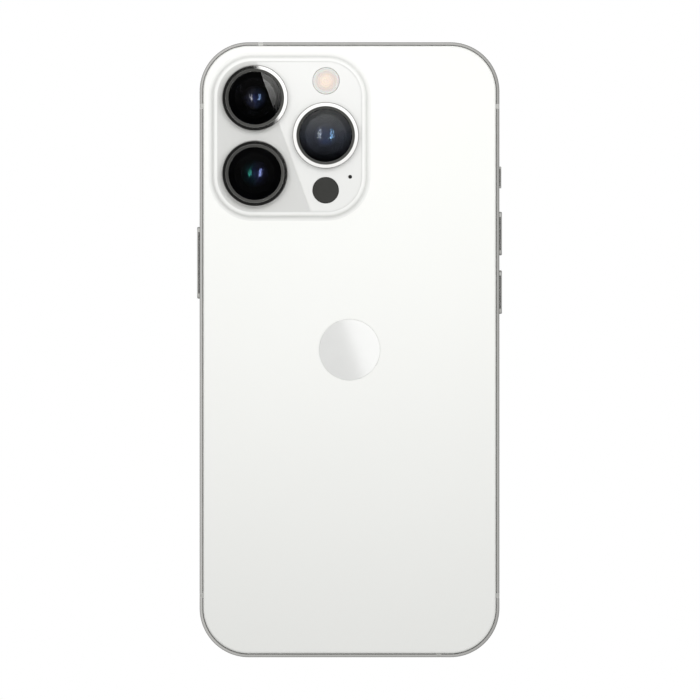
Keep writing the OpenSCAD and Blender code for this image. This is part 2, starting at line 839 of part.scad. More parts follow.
module bottom_screws() {
    lobes = 5;
    color("silver") for (x = [-screw_x, screw_x]) translate([x, 0, 0]) difference() {
        union() {
            translate([0, 0, 0.05]) cylinder(r = 0.8, h = 0.8);
            translate([0, 0, 0.05]) cylinder(r = 0.42, h = 4.4);
        }
        for (i = [0 : lobes - 1])
            rotate([0, 0, 360 / lobes * i]) translate([0.28, 0, -1]) cylinder(r = 0.16, h = 1.35);
        translate([0, 0, -1]) cylinder(r = 0.26, h = 1.35);
    }
}

back_glass();
back_mark_disc();
band_top();
band_right();
band_bottom();
band_left();
band_corner_top_left();
band_corner_bottom_right();
antenna_inserts();
chassis();
front_glass();
display_panel();
display_bezel();
display_shield();
display_gasket();
acoustic_meshes();
side_button();
volume_up_button();
volume_down_button();
ring_switch();
button_switches();
sim_tray();
sim_card();
sim_reader();
telephoto_lens_ring();
wide_lens_ring();
ultrawide_lens_ring();
telephoto_cover_glass();
wide_cover_glass();
ultrawide_cover_glass();
telephoto_camera();
wide_camera();
ultrawide_camera();
telephoto_barrel();
wide_barrel();
ultrawide_barrel();
camera_sensor_boards();
flash_lens();
flash_led();
depth_sensor_window();
depth_sensor_module();
rear_microphone();
camera_bracket();
bracket_screws();
front_camera();
face_sensor();
earpiece_speaker();
battery();
logic_board();
board_shields();
flex_cables();
charging_coil();
magnet_ring();
haptic_case();
haptic_mass();
haptic_springs();
loudspeaker_box();
speaker_diaphragm();
charge_port();
bottom_screws();
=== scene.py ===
"""Looks for a smartphone seen from behind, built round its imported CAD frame.

Shapes are worked out in millimetres, in the frame's own axes: +Z up, the back faces -Y.
"""

import json
from math import asin, atan, cos, degrees, pi, radians, sin, sqrt

import bmesh
import bpy
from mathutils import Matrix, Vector
from mathutils.geometry import delaunay_2d_cdt

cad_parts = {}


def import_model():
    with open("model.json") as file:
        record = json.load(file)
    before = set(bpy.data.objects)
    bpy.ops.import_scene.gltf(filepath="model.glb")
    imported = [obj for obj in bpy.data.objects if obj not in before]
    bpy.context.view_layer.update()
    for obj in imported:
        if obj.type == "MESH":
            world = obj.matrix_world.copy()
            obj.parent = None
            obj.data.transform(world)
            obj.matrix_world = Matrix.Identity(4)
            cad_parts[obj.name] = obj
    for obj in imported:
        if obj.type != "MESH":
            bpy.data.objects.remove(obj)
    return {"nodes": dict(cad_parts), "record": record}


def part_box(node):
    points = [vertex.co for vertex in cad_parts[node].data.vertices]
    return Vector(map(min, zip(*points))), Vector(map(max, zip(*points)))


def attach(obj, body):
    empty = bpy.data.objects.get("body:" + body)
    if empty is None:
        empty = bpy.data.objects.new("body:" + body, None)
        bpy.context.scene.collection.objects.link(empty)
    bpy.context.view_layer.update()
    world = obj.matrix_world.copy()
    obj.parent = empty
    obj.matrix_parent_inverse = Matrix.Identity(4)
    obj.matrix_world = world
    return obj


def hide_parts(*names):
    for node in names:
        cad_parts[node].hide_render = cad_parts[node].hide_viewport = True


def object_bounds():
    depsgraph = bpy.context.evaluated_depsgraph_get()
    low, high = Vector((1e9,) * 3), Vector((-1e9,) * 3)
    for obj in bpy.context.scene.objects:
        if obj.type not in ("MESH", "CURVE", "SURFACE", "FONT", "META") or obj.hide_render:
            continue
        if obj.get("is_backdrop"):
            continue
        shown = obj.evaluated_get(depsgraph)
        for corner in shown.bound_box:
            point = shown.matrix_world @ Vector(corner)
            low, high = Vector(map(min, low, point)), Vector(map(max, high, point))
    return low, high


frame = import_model()
cad_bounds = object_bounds()

MM = 0.001


def box(node):
    """A CAD node's lowest and highest corners, in millimetres."""
    low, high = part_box(node)
    return low / MM, high / MM


# -------- sizes, from the frame

FRONT_LOW, FRONT_HIGH = box("front_glass")
RAIL_LOW, RAIL_HIGH = box("band_right")
HALF_W = RAIL_HIGH.x
BODY_H = box("band_top")[1].z
HALF_T = FRONT_HIGH.y
GLASS_IN = FRONT_LOW.y
INSET = HALF_W - FRONT_HIGH.x
BAND_WALL = 1.5
BAND_EDGE_R = 0.75
CORNER_R = 11.7
GLASS_R = CORNER_R - INSET
GLASS_EDGE_R = 0.6
SEAT_Y = GLASS_IN - 0.05
EDGE_Y = SEAT_Y - 0.1
CORNER_X = HALF_W - CORNER_R
CORNER_HIGH = BODY_H - CORNER_R
BREAK_HALF = 0.55
BREAK_GAP = 0.01
PLATEAU_TOP = -box("back_glass")[0].y
PLATEAU_H = PLATEAU_TOP - HALF_T
CAMERAS = ("telephoto", "wide", "ultrawide")
BUTTONS = ("side_button", "volume_up_button", "volume_down_button")
# Where a rounded edge's points lie on its quarter turn
QUARTER = (0, pi / 8, pi / 4, 3 * pi / 8, pi / 2)


def middle(node):
    low, high = box(node)
    return (low + high) / 2


def place(node):
    """Where a node's axis along Y crosses the back, as (x, z)."""
    at = middle(node)
    return (at.x, at.z)


# -------- mesh building


def add_object(name, data):
    obj = bpy.data.objects.new(name, data)
    bpy.context.scene.collection.objects.link(obj)
    return obj


class Shape:
    """A mesh being built in millimetres, from rows of points skinned together."""

    def __init__(self):
        self.bm = bmesh.new()
        self.material = 0
        self.borders = set()

    def row(self, points):
        return [self.bm.verts.new(p) for p in points]

    def face(self, verts):
        if len(set(verts)) < 3:
            return
        kept = [v for i, v in enumerate(verts) if v is not verts[i - 1]]
        f = self.bm.faces.new(kept)
        f.smooth = True
        f.material_index = self.material

    def skin(self, rows, closed=True):
        """Quads between each row and the next. A row of one vertex is a pole."""
        for a, b in zip(rows, rows[1:]):
            n = max(len(a), len(b))
            for i in range(n if closed else n - 1):
                j = (i + 1) % n
                pick = lambda r, k: r[k] if len(r) > 1 else r[0]
                self.face([pick(a, i), pick(a, j), pick(b, j), pick(b, i)])

    def cap(self, outer, holes=(), drop=1):
        """A flat face inside the outer row, with holes. drop is the axis that it is square to."""
        axes = [k for k in range(3) if k != drop]
        loops = [outer, *holes]
        verts = [v for loop in loops for v in loop]
        flat = [Vector((v.co[axes[0]], v.co[axes[1]])) for v in verts]
        edges, start = [], 0
        for loop in loops:
            n = len(loop)
            edges += [(start + i, start + (i + 1) % n) for i in range(n)]
            start += n
        points, _, faces, origin, _, _ = delaunay_2d_cdt(flat, edges, [], 1, 1e-7)
        for tri in faces:
            centre = sum((points[i] for i in tri), Vector((0, 0))) / len(tri)
            if sum(contains(flat, e, centre) for e in edges) % 2:
                self.face([verts[origin[i][0]] for i in tri])
        self.borders.update(frozenset((verts[a], verts[b])) for a, b in edges)

    def block(self, low, high, edge=0.0):
        """A box with rounded edges."""
        before = set(self.bm.verts)
        corners = [[(low, high)[k >> i & 1][i] for i in range(3)] for k in range(8)]
        v = self.row(corners)
        sides = ((0, 2, 3, 1), (4, 5, 7, 6), (0, 1, 5, 4), (2, 6, 7, 3), (0, 4, 6, 2), (1, 3, 7, 5))
        for side in sides:
            self.face([v[i] for i in side])
        if edge:
            own = [e for e in self.bm.edges if e.verts[0] not in before and e.verts[1] not in before]
            made = bmesh.ops.bevel(self.bm, geom=own, offset=edge, segments=3, profile=0.5, affect="EDGES")
            for f in made["faces"]:
                f.smooth = True

    def finish(self, name, body, materials, replaces=(), sharp=35):
        """Turns the mesh into an object that rides on a body and stands for CAD nodes."""
        bmesh.ops.recalc_face_normals(self.bm, faces=self.bm.faces)
        for e in self.bm.edges:
            e.smooth = frozenset(e.verts) not in self.borders and e.calc_face_angle(0) < radians(sharp)
        for v in self.bm.verts:
            v.co *= MM
        mesh = bpy.data.meshes.new(name)
        self.bm.to_mesh(mesh)
        self.bm.free()
        obj = add_object(name, mesh)
        for m in materials:
            mesh.materials.append(m)
        weighted = obj.modifiers.new("weighted", "WEIGHTED_NORMAL")
        weighted.keep_sharp = True
        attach(obj, body)
        if replaces:
            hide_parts(*replaces)
        return obj


def contains(flat, edge, at):
    """Whether a ray from a point towards +X crosses this edge."""
    a, b = flat[edge[0]], flat[edge[1]]
    if (a.y > at.y) == (b.y > at.y):
        return False
    return at.x < a.x + (at.y - a.y) * (b.x - a.x) / (b.y - a.y)


def arc(cx, cy, r, start, end, steps):
    """Points on an arc, both ends included. Angles are in degrees."""
    turns = [radians(start + (end - start) * i / steps) for i in range(steps + 1)]
    return [(cx + r * cos(a), cy + r * sin(a)) for a in turns]


def corner_stations(k, cx, cz, steps=28):
    """Stations round a quarter turn: 0 bottom right, 1 top right, 2 top left, 3 bottom left."""
    turns = [radians(90 * (k - 1) + 90 * i / steps) for i in range(steps + 1)]
    return [(cx, cz, cos(a), sin(a)) for a in turns]


def rounded_stations(x0, x1, z0, z1, r, steps=28):
    """Stations all round a rounded rectangle."""
    centres = ((x1 - r, z0 + r), (x1 - r, z1 - r), (x0 + r, z1 - r), (x0 + r, z0 + r))
    return [s for k, c in enumerate(centres) for s in corner_stations(k, *c, steps)]


def sweep_row(stations, out, y):
    """One line of a section, swept round the stations at a distance from their centres."""
    return [(cx + out * nx, y, cz + out * nz) for cx, cz, nx, nz in stations]


def circle(at, r, y, steps=72):
    """A ring of points round an axis along Y."""
    turns = [2 * pi * i / steps for i in range(steps)]
    return [(at[0] + r * cos(a), y, at[1] + r * sin(a)) for a in turns]


def revolve(shape, at, profile, steps=72, closed=False):
    """Turns a profile of (radius, y) round an axis along Y. Its flats keep hard edges, to mirror truly."""
    rows = []
    for r, y in profile:
        rows.append(shape.row([(at[0], y, at[1])] if r == 0 else circle(at, r, y, steps)))
    shape.skin(rows + rows[:1] if closed else rows)
    for (_, y), (_, y_next), a, b in zip(profile, profile[1:], rows, rows[1:]):
        if y == y_next:
            shape.borders.update(frozenset((row[i - 1], row[i])) for row in (a, b) for i in range(len(row)))
    return rows


def stadium(half_len, half_wide, grow=0.0, steps=12):
    """A slot's outline as (across, along), centred on zero, grown by some distance."""
    r = half_wide + grow
    straight = half_len - half_wide
    top = [(r * cos(a), straight + r * sin(a)) for a in (pi * i / steps for i in range(steps + 1))]
    return top + [(-x, -y) for x, y in top]


def rounded_outline(half_across, half_along, r, grow=0.0, steps=6):
    """A rounded rectangle's outline as (across, along), centred on zero."""
    out = []
    for k, (sx, sy) in enumerate(((1, -1), (1, 1), (-1, 1), (-1, -1))):
        cx, cy = sx * (half_across - r), sy * (half_along - r)
        out += arc(cx, cy, r + grow, 90 * (k - 1), 90 * k, steps)
    return out


# -------- materials


def graded(tree, value, start, end, low, high, interpolation="LINEAR"):
    """A node that goes from low to high while a value goes from start to end."""
    node = tree.nodes.new("ShaderNodeMapRange")
    node.interpolation_type = interpolation
    for socket, setting in zip(("From Min", "From Max", "To Min", "To Max"), (start, end, low, high)):
        node.inputs[socket].default_value = setting
    tree.links.new(value, node.inputs["Value"])
    return node.outputs["Result"]


class Nodes:
    """A Principled material whose colour, roughness and bump come from procedural textures."""

    def __init__(self, name, **sockets):
        self.material = bpy.data.materials.new(name)
        self.material.use_nodes = True
        self.tree = self.material.node_tree
        self.shader = next(n for n in self.tree.nodes if n.type == "BSDF_PRINCIPLED")
        for socket, value in sockets.items():
            self.set(socket.replace("_", " "), value)

    def set(self, socket, value):
        if isinstance(value, tuple) and len(value) == 3:
            value = (*value, 1)
        self.shader.inputs[socket].default_value = value

    def add(self, kind, **inputs):
        node = self.tree.nodes.new(kind)
        for key, value in inputs.items():
            if key in node.bl_rna.properties:
                setattr(node, key, value)
            else:
                self.feed(node.inputs[key.replace("_", " ")], value)
        return node

    def feed(self, socket, value):
        if isinstance(value, bpy.types.NodeSocket):
            self.tree.links.new(value, socket)
        else:
            socket.default_value = value

    def position(self, scale=(1, 1, 1)):
        """Object coordinates in millimetres, stretched by scale."""
        coordinates = self.add("ShaderNodeTexCoord")
        mapping = self.add("ShaderNodeMapping", Vector=coordinates.outputs["Object"])
        mapping.inputs["Scale"].default_value = [s / MM for s in scale]
        return mapping.outputs["Vector"]

    def along(self, axis):
        """The object coordinate along one axis, in metres."""
        coordinates = self.add("ShaderNodeTexCoord").outputs["Object"]
        return self.add("ShaderNodeSeparateXYZ", Vector=coordinates).outputs[axis]

    def noise(self, per_mm, stretch=(1, 1, 1)):
        where = self.position([per_mm * s for s in stretch])
        return self.add("ShaderNodeTexNoise", Vector=where, Scale=1.0, Detail=3.0).outputs["Fac"]

    def math(self, operation, a, b=0.0, clamp=False):
        node = self.add("ShaderNodeMath", operation=operation, use_clamp=clamp)
        self.feed(node.inputs[0], a)
        self.feed(node.inputs[1], b)
        return node.outputs["Value"]

    def ramp(self, factor, *stops):
        """A colour ramp through (place, colour) stops."""
        node = self.add("ShaderNodeValToRGB", Fac=factor)
        elements = node.color_ramp.elements
        while len(elements) < len(stops):
            elements.new(0.5)
        for element, (at, colour) in zip(elements, stops):
            element.position = at
            element.color = (*colour, 1)
        return node.outputs["Color"]

    def between(self, factor, low, high):
        """Spreads the middle of a noise's range over low to high."""
        return graded(self.tree, factor, 0.3, 0.7, low, high)

    def colour(self, source):
        self.feed(self.shader.inputs["Base Color"], source)

    def roughness(self, source):
        self.feed(self.shader.inputs["Roughness"], source)

    def tint(self, source):
        self.feed(self.shader.inputs["Specular Tint"], source)

    def bump(self, height, depth_mm):
        node = self.add("ShaderNodeBump", Height=height, Strength=1.0, Distance=depth_mm * MM)
        self.feed(self.shader.inputs["Normal"], node.outputs["Normal"])

    def radius(self, at):
        """Distance in millimetres from an axis along Y."""
        dx = self.math("SUBTRACT", self.along("X"), at[0] * MM)
        dz = self.math("SUBTRACT", self.along("Z"), at[1] * MM)
        squares = self.math("ADD", self.math("MULTIPLY", dx, dx), self.math("MULTIPLY", dz, dz))
        return self.math("DIVIDE", self.math("SQRT", squares), MM)


def varied(name, colour, spread, rough, rough_spread, per_mm, depth_mm, stretch=(1, 1, 1), **sockets):
    """A material with slight variations of colour and roughness, and a fine surface texture."""
    m = Nodes(name, **sockets)
    coarse = m.noise(per_mm / 6, stretch)
    dark = tuple(c * (1 - spread) for c in colour)
    light = tuple(min(1.0, c * (1 + spread)) for c in colour)
    m.colour(m.ramp(coarse, (0.3, dark), (0.7, light)))
    m.roughness(m.between(m.noise(per_mm / 3, stretch), rough - rough_spread, rough + rough_spread))
    m.bump(m.noise(per_mm, stretch), depth_mm)
    return m.material


def frosted_glass():
    m = Nodes("frosted_glass", Specular_IOR_Level=0.35)
    drift = m.noise(0.03)
    m.colour(m.ramp(drift, (0.3, (0.918, 0.924, 0.898)), (0.7, (0.926, 0.932, 0.906))))
    m.roughness(m.between(m.noise(3), 0.46, 0.52))
    m.bump(m.noise(14), 0.0008)
    return m.material


def glossy_plateau():
    """Polished glass over white: greyer on its flat top, with a painted highlight at its crown and painted
    shade down its sloping edge.
    """
    m = Nodes("glossy_plateau", Coat_Weight=0.85, Coat_Roughness=0.0, Specular_IOR_Level=0.8)
    below_top = m.math("DIVIDE", m.math("ADD", m.along("Y"), PLATEAU_TOP * MM), MM)
    drift = m.math("MULTIPLY", m.noise(0.04), 0.002)
    down = m.math("ADD", m.math("DIVIDE", below_top, PLATEAU_H), drift, clamp=True)
    # Painted light: the crown colour is a painted highlight, and the colour down the sloping edge is painted
    # shade, lighter and darker than the flat top.
    flat, crown, painted_slope_shade = (0.73, 0.733, 0.716), (0.96, 0.965, 0.945), (0.79, 0.795, 0.775)
    foot = (0.93, 0.935, 0.915)
    stops = ((0.004, flat), (0.03, crown), (0.14, crown), (0.35, painted_slope_shade), (0.65, painted_slope_shade), (0.93, foot))
    m.colour(m.ramp(down, *stops))
    m.roughness(m.between(m.noise(2), 0.0, 0.008))
    m.bump(m.noise(0.12), 0.0001)
    return m.material


def polished_mark(at):
    m = Nodes("polished_mark", Coat_Weight=1.0, Coat_Roughness=0.02, Coat_IOR=2.2)
    m.colour(m.ramp(m.noise(0.3), (0.3, (0.86, 0.865, 0.85)), (0.7, (0.875, 0.88, 0.865))))
    m.roughness(m.between(m.noise(2), 0.05, 0.08))
    rings = m.math("SINE", m.math("MULTIPLY", m.radius(at), 60))
    m.bump(rings, 0.00004)
    return m.material


def cover_crystal(name, at):
    """Sapphire with a painted reflection: its reflections are graded by height, strong near the window's top
    edge and faint towards its bottom.
    """
    m = Nodes(f"{name}_crystal", Transmission_Weight=1.0, IOR=1.61)
    m.colour(m.ramp(m.noise(0.2), (0.3, (0.97, 0.98, 1.0)), (0.7, (0.99, 0.99, 1.0))))
    # Painted reflection: how strongly the window reflects rises from its bottom edge to its top.
    rise = m.math("DIVIDE", m.math("SUBTRACT", m.along("Z"), at[1] * MM), 2 * COVER_R * MM)
    painted_reflection = m.ramp(m.math("ADD", rise, 0.5, clamp=True), *COVER_PAINTED_REFLECTION[name])
    m.tint(painted_reflection)
    m.roughness(m.between(m.noise(1), 0.0, 0.004))
    return m.material


def painted_lens_reflections(name, at, reach, tints, painted_core_glow, painted_halo_glow):
    """A dark element: a painted blue glow round its axis stands in for reflections inside the lens, and its
    reflections are tinted from left to right, a painted reflection colour that fades out towards its rim.
    """
    m = Nodes(name, IOR=1.35, Roughness=0.11)
    r = m.math("DIVIDE", m.radius(at), reach, clamp=True)
    wobble = m.math("MULTIPLY", m.noise(0.8), 0.12)
    black = (0.0015, 0.0015, 0.003)
    # Painted glow: the colours round the axis stand in for reflections inside the lens.
    m.colour(m.ramp(m.math("ADD", r, wobble), (0.06, painted_core_glow), (0.42, painted_halo_glow), (0.95, black)))
    offset = m.math("DIVIDE", m.math("SUBTRACT", m.along("X"), at[0] * MM), 2 * reach * MM)
    left, right = tints
    # Painted reflection colour: the left half's reflections take one tint and the right half's another, fading
    # out towards the rim.
    tint = m.ramp(m.math("ADD", offset, 0.5, clamp=True), (0.42, left), (0.58, right))
    fade = m.between(m.math("MULTIPLY", r, 0.7), 1.0, 0.0)
    tint = m.add("ShaderNodeVectorMath", operation="SCALE", Vector=tint, Scale=fade).outputs["Vector"]
    m.tint(tint)
    return m.material


def flash_diffuser(at):
    m = Nodes("flash_diffuser", Subsurface_Weight=0.2, Coat_Weight=0.3, Coat_Roughness=0.08)
    m.set("Subsurface Scale", 0.0005)
    reach = 3.2
    r = m.math("DIVIDE", m.radius(at), reach, clamp=True)
    mottle = m.math("ADD", r, m.math("MULTIPLY", m.noise(0.7), 0.2))
    cream, blush, rim = (0.93, 0.80, 0.69), (0.76, 0.68, 0.63), (0.75, 0.75, 0.72)
    m.colour(m.ramp(mottle, (0.38, cream), (0.76, blush), (0.96, rim)))
    m.roughness(m.between(m.noise(3), 0.15, 0.25))
    m.bump(m.noise(2), 0.002)
    return m.material


def display_glass():
    m = Nodes("display_glass", Transmission_Weight=1.0, IOR=1.5)
    m.colour(m.ramp(m.noise(0.2), (0.3, (0.92, 0.94, 0.97)), (0.7, (0.95, 0.96, 0.98))))
    m.roughness(m.between(m.noise(0.5), 0.0, 0.006))
    return m.material


def display_film():
    """Unlit pixels: a fine dark grid with a faint blue cast."""
    m = Nodes("display_film", Specular_IOR_Level=0.1)
    grid = m.add("ShaderNodeTexVoronoi", Vector=m.position((16, 1, 16)), Scale=1.0, Randomness=0.0)
    m.colour(m.ramp(grid.outputs["Distance"], (0.2, (0.006, 0.007, 0.011)), (0.6, (0.003, 0.003, 0.005))))
    m.roughness(m.between(m.noise(0.1), 0.16, 0.22))
    return m.material


def woven_mesh():
    """Fine steel gauze, with painted shade between the wires: its holes are coloured near black."""
    m = Nodes("woven_mesh", Metallic=0.7)
    weave = m.add("ShaderNodeTexVoronoi", Vector=m.position((7, 7, 7)), Scale=1.0, Randomness=0.05)
    holes = weave.outputs["Distance"]
    # Painted shade: the holes between the wires are coloured near black.
    m.colour(m.ramp(holes, (0.25, (0.004, 0.004, 0.004)), (0.45, (0.10, 0.10, 0.10))))
    m.roughness(m.between(m.noise(4), 0.4, 0.55))
    m.bump(holes, 0.03)
    return m.material


def circuit_board():
    """Solder mask with faint traces and pads."""
    m = Nodes("circuit_board", Coat_Weight=0.3, Coat_Roughness=0.2)
    traces = m.add("ShaderNodeTexVoronoi", Vector=m.position((0.9, 0.9, 0.9)), Scale=1.0)
    traces.distance = "MANHATTAN"
    edge = traces.outputs["Distance"]
    m.colour(m.ramp(edge, (0.1, (0.16, 0.12, 0.03)), (0.16, (0.006, 0.035, 0.02)), (0.8, (0.01, 0.05, 0.03))))
    m.roughness(m.between(m.noise(2), 0.35, 0.5))
    m.bump(edge, 0.01)
    return m.material


def copper_winding(at):
    """Enamelled wire wound flat round the coil's axis."""
    m = Nodes("copper_winding", Metallic=1.0)
    turns = m.math("SINE", m.math("MULTIPLY", m.radius(at), 2 * pi / 0.62))
    m.colour(m.ramp(m.noise(0.5), (0.3, (0.62, 0.27, 0.12)), (0.7, (0.75, 0.36, 0.18))))
    m.roughness(m.between(m.noise(2), 0.2, 0.32))
    m.bump(turns, 0.06)
    return m.material


coil_at = place("charging_coil")
mark_at = place("back_mark_disc")
flash_at = place("flash_lens")

FROSTED = frosted_glass()
PLATEAU = glossy_plateau()
MARK = polished_mark(mark_at)
STEEL = varied("polished_steel", (0.72, 0.715, 0.70), 0.02, 0.22, 0.02, 3, 0.0002, Metallic=1.0)
RING_STEEL = varied("ring_steel", (0.545, 0.542, 0.532), 0.02, 0.012, 0.004, 4, 0.000001, Metallic=1.0)
# The dark coated bevel inside a camera's ring
RING_BEVEL = varied("ring_bevel", (0.125, 0.125, 0.12), 0.05, 0.22, 0.04, 4, 0.0003, Metallic=1.0)
ANTENNA = varied("antenna_plastic", (0.56, 0.56, 0.535), 0.03, 0.42, 0.05, 8, 0.001)
INK_COLOUR = (0.0015, 0.0015, 0.002)
INK = varied("black_ink", INK_COLOUR, 0.3, 0.35, 0.05, 6, 0.0005, Specular_IOR_Level=0.0)
BARREL = varied("barrel_black", INK_COLOUR, 0.3, 0.6, 0.08, 6, 0.002, Specular_IOR_Level=0.02)
FLASH = flash_diffuser(flash_at)
TINTED = varied("tinted_glass", (0.034, 0.034, 0.031), 0.05, 0.03, 0.01, 5, 0.00002, Specular_IOR_Level=0.15)
DISPLAY_GLASS = display_glass()
FILM = display_film()
MESH = woven_mesh()
ORANGE = varied("signal_orange", (0.85, 0.16, 0.02), 0.05, 0.45, 0.05, 5, 0.001)


# -------- back glass and its plateau

BLEND_W = 2.6
BLEND_SINK = 0.03
FOOT = dict(x0=-33.66, x1=5.07, z0=104.1, z1=144.3, r=10.6)
LENS_BORE_R = 7.5
FLASH_BORE_R = 3.2
SENSOR_BORE_R = 3.15
MICROPHONE_R = 0.45
MARK_R = box("back_mark_disc")[1].x - mark_at[0]
MARK_GAP = 0.05
MARK_DEPTH = 0.14


def blend_section():
    """The plateau's edge as (inset from the foot, depth): flat top, convex arc, concave arc, glass."""
    angle = 2 * atan((PLATEAU_H + BLEND_SINK) / BLEND_W)
    r = BLEND_W / (2 * sin(angle))
    spread = sqrt(2 * r * BLEND_SINK - BLEND_SINK**2)
    crown = arc(BLEND_W, PLATEAU_H - r, r, 90, 90 + degrees(angle), 10)
    meet = degrees(asin(spread / r))
    skirt = arc(0, r - BLEND_SINK, r, -90 + degrees(angle), -90 + meet, 10)
    section = crown + skirt[1:]
    return [(spread - x, -HALF_T - h) for x, h in section]


def glass_edge(shape, side):
    """The edge of the front (side 1) or back (side -1) glass. Gives its rows from the inside out."""
    rim = rounded_stations(-HALF_W + INSET, HALF_W - INSET, INSET, BODY_H - INSET, GLASS_R)
    edge = [(GLASS_R, GLASS_IN)]
    edge += arc(GLASS_R - GLASS_EDGE_R, HALF_T - GLASS_EDGE_R, GLASS_EDGE_R, 0, 90, 10)
    rows = [shape.row(sweep_row(rim, out, side * y)) for out, y in edge]
    shape.skin(rows)
    return rows


def rim_hole(shape, at, r, y_out, y_in, edge=0.12):
    """A round hole with a rounded mouth. Gives its outer and inner rows."""
    mouth = [(r + edge * (1 - sin(a)), y_out + edge * (1 - cos(a))) for a in QUARTER]
    rows = [shape.row(circle(at, radius, y)) for radius, y in mouth + [(r, y_in)]]
    shape.skin(rows)
    return rows[0], rows[-1]


def back_glass():
    shape = Shape()
    rim_rows = glass_edge(shape, -1)
    section = blend_section()
    foot = rounded_stations(**FOOT)
    blend_rows = [shape.row(sweep_row(foot, FOOT["r"] + out, y)) for out, y in section]
    mark_mouth, mark_base = rim_hole(shape, mark_at, MARK_R + MARK_GAP, -HALF_T, -HALF_T + MARK_DEPTH, 0.03)
    shape.cap(mark_base)
    shape.cap(rim_rows[-1], [blend_rows[-1], mark_mouth])

    shape.material = 1
    shape.skin(blend_rows)
    inner_holes, outer_holes = [], []
    bores = [(place(f"{name}_lens_ring"), LENS_BORE_R) for name in CAMERAS]
    bores += [(flash_at, FLASH_BORE_R), (place("depth_sensor_window"), SENSOR_BORE_R)]
    bores.append((place("rear_microphone"), MICROPHONE_R))
    for at, r in bores:
        outer, inner = rim_hole(shape, at, r, -PLATEAU_TOP, -GLASS_IN, 0.12 if r > 1 else 0.06)
        outer_holes.append(outer)
        inner_holes.append(inner)
    shape.cap(blend_rows[0], outer_holes)
    shape.material = 0
    shape.cap(rim_rows[0], inner_holes)
    shape.finish("back_glass_shell", "root", [FROSTED, PLATEAU], ["back_glass"])


def mark_disc():
    low, high = box("back_mark_disc")
    shape = Shape()
    edge = [(MARK_R - 0.05 * (1 - cos(a)), low.y + 0.05 * (1 - sin(a))) for a in QUARTER]
    profile = [(0, high.y), (MARK_R, high.y), *edge, (MARK_R * 0.5, low.y), (0, low.y)]
    revolve(shape, mark_at, profile, 96)
    shape.finish("back_mark", "root", [MARK], ["back_mark_disc"])


# -------- steel band


def band_section():
    """The wall's section as (out from the corner's centre, depth). Its first edge is the outer flat."""
    front = arc(CORNER_R - BAND_EDGE_R, EDGE_Y, BAND_EDGE_R, 0, 90, 10)
    back = [(out, -y) for out, y in reversed(front)]
    lip, inner = CORNER_R - BAND_EDGE_R, CORNER_R - BAND_WALL
    return front + [(lip, SEAT_Y), (inner, SEAT_Y), (inner, -SEAT_Y), (lip, -SEAT_Y)] + back


def straight(side, z0, z1):
    """Stations up a side rail; side is 1 for the right rail. They run the same way as the corners do."""
    run = [(side * CORNER_X, z, side, 0) for z in (z0, z1)]
    return run if side > 0 else run[::-1]


def level(z, up, x0, x1):
    """Stations along the top rail (up is 1) or the bottom rail (up is -1)."""
    run = [(x, z, 0, up) for x in (x0, x1)]
    return run[::-1] if up > 0 else run


def band_piece(name, node, stations, holes=None, hole_at=0):
    """A length of the band."""
    shape = Shape()
    add_band(shape, stations, holes, hole_at)
    shape.finish(name, "root", [STEEL], [node])


def add_band(shape, stations, holes=None, hole_at=0):
    """The band's section swept along stations. holes(shape) cuts the run that starts at hole_at."""
    section = band_section()
    last = len(section) - 1
    inner_edge = section.index((CORNER_R - BAND_WALL, SEAT_Y))
    rows = [shape.row([(cx + out * nx, y, cz + out * nz) for out, y in section]) for cx, cz, nx, nz in stations]
    cut = {last, inner_edge} if holes else set()
    for k, (a, b) in enumerate(zip(rows, rows[1:])):
        for i in range(len(section)):
            if k == hole_at and i in cut:
                continue
            j = (i + 1) % len(section)
            shape.face([a[i], a[j], b[j], b[i]])
    shape.face(rows[0])
    shape.face(rows[-1])
    if holes:
        a, b = rows[hole_at], rows[hole_at + 1]
        drop = 0 if abs(stations[hole_at][2]) > 0.5 else 2
        made = holes(shape)
        for i, end in ((last, 0), (inner_edge, 1)):
            j = (i + 1) % len(section)
            shape.cap([a[i], a[j], b[j], b[i]], [hole[end] for hole in made], drop)


def slot_rows(shape, outline, to_point, out, inner, edge=0.12):
    """A slot's wall with a rounded mouth, from the outer face in. outline(grow) gives its loop."""
    turns = (0, pi / 6, pi / 3, pi / 2)
    mouth = [(edge * (1 - sin(a)), out - edge * (1 - cos(a))) for a in turns]
    rows = [shape.row([to_point(p, depth) for p in outline(grow)]) for grow, depth in mouth]
    rows.append(shape.row([to_point(p, inner) for p in outline(0)]))
    shape.skin(rows)
    return rows[0], rows[-1]


BUTTON_GAP = 0.05
BUTTON_HALF_W = 1.45
FLANGE_REACH = 0.9
FLANGE_T = 0.4
PAINT_T = 0.03


def button_half_len(node):
    """Half a push button's length, without the flange that keeps it in."""
    low, high = box(node)
    return (high.z - low.z) / 2 - FLANGE_REACH


def side_slots(side, z_slots):
    """Slots through a side rail, each as (middle z, outline)."""

    def build(shape):
        made = []
        for z, outline in z_slots:
            to_point = lambda p, depth: (side * depth, p[0], z + p[1])
            made.append(slot_rows(shape, outline, to_point, HALF_W, HALF_W - BAND_WALL))
        return made

    return build


def button_slot(node):
    half = button_half_len(node) + BUTTON_GAP
    return (middle(node).z, lambda grow: stadium(half, BUTTON_HALF_W + BUTTON_GAP, grow))


SWITCH_SLOT = dict(half_across=1.45, half_along=2.75, r=0.7)
TRAY_Z = 63.0
TRAY_HALF = (7.5, 1.2)
SPEAKER_HOLES = [-12 - 2.1 * i for i in range(6)]
MICROPHONE_HOLES = [12 + 2.1 * i for i in range(4)]
HOLE_R = 0.72
SCREW_X = 7.3
SCREW_SEAT_R, SCREW_SEAT_Z, SCREW_BORE_R = 0.85, 0.9, 0.55
PORT_HALF = (4.2, 1.35)


def disc(r):
    """A round outline as (across, along)."""
    return [(q[0], q[2]) for q in circle((0, 0), r, 0, 24)]


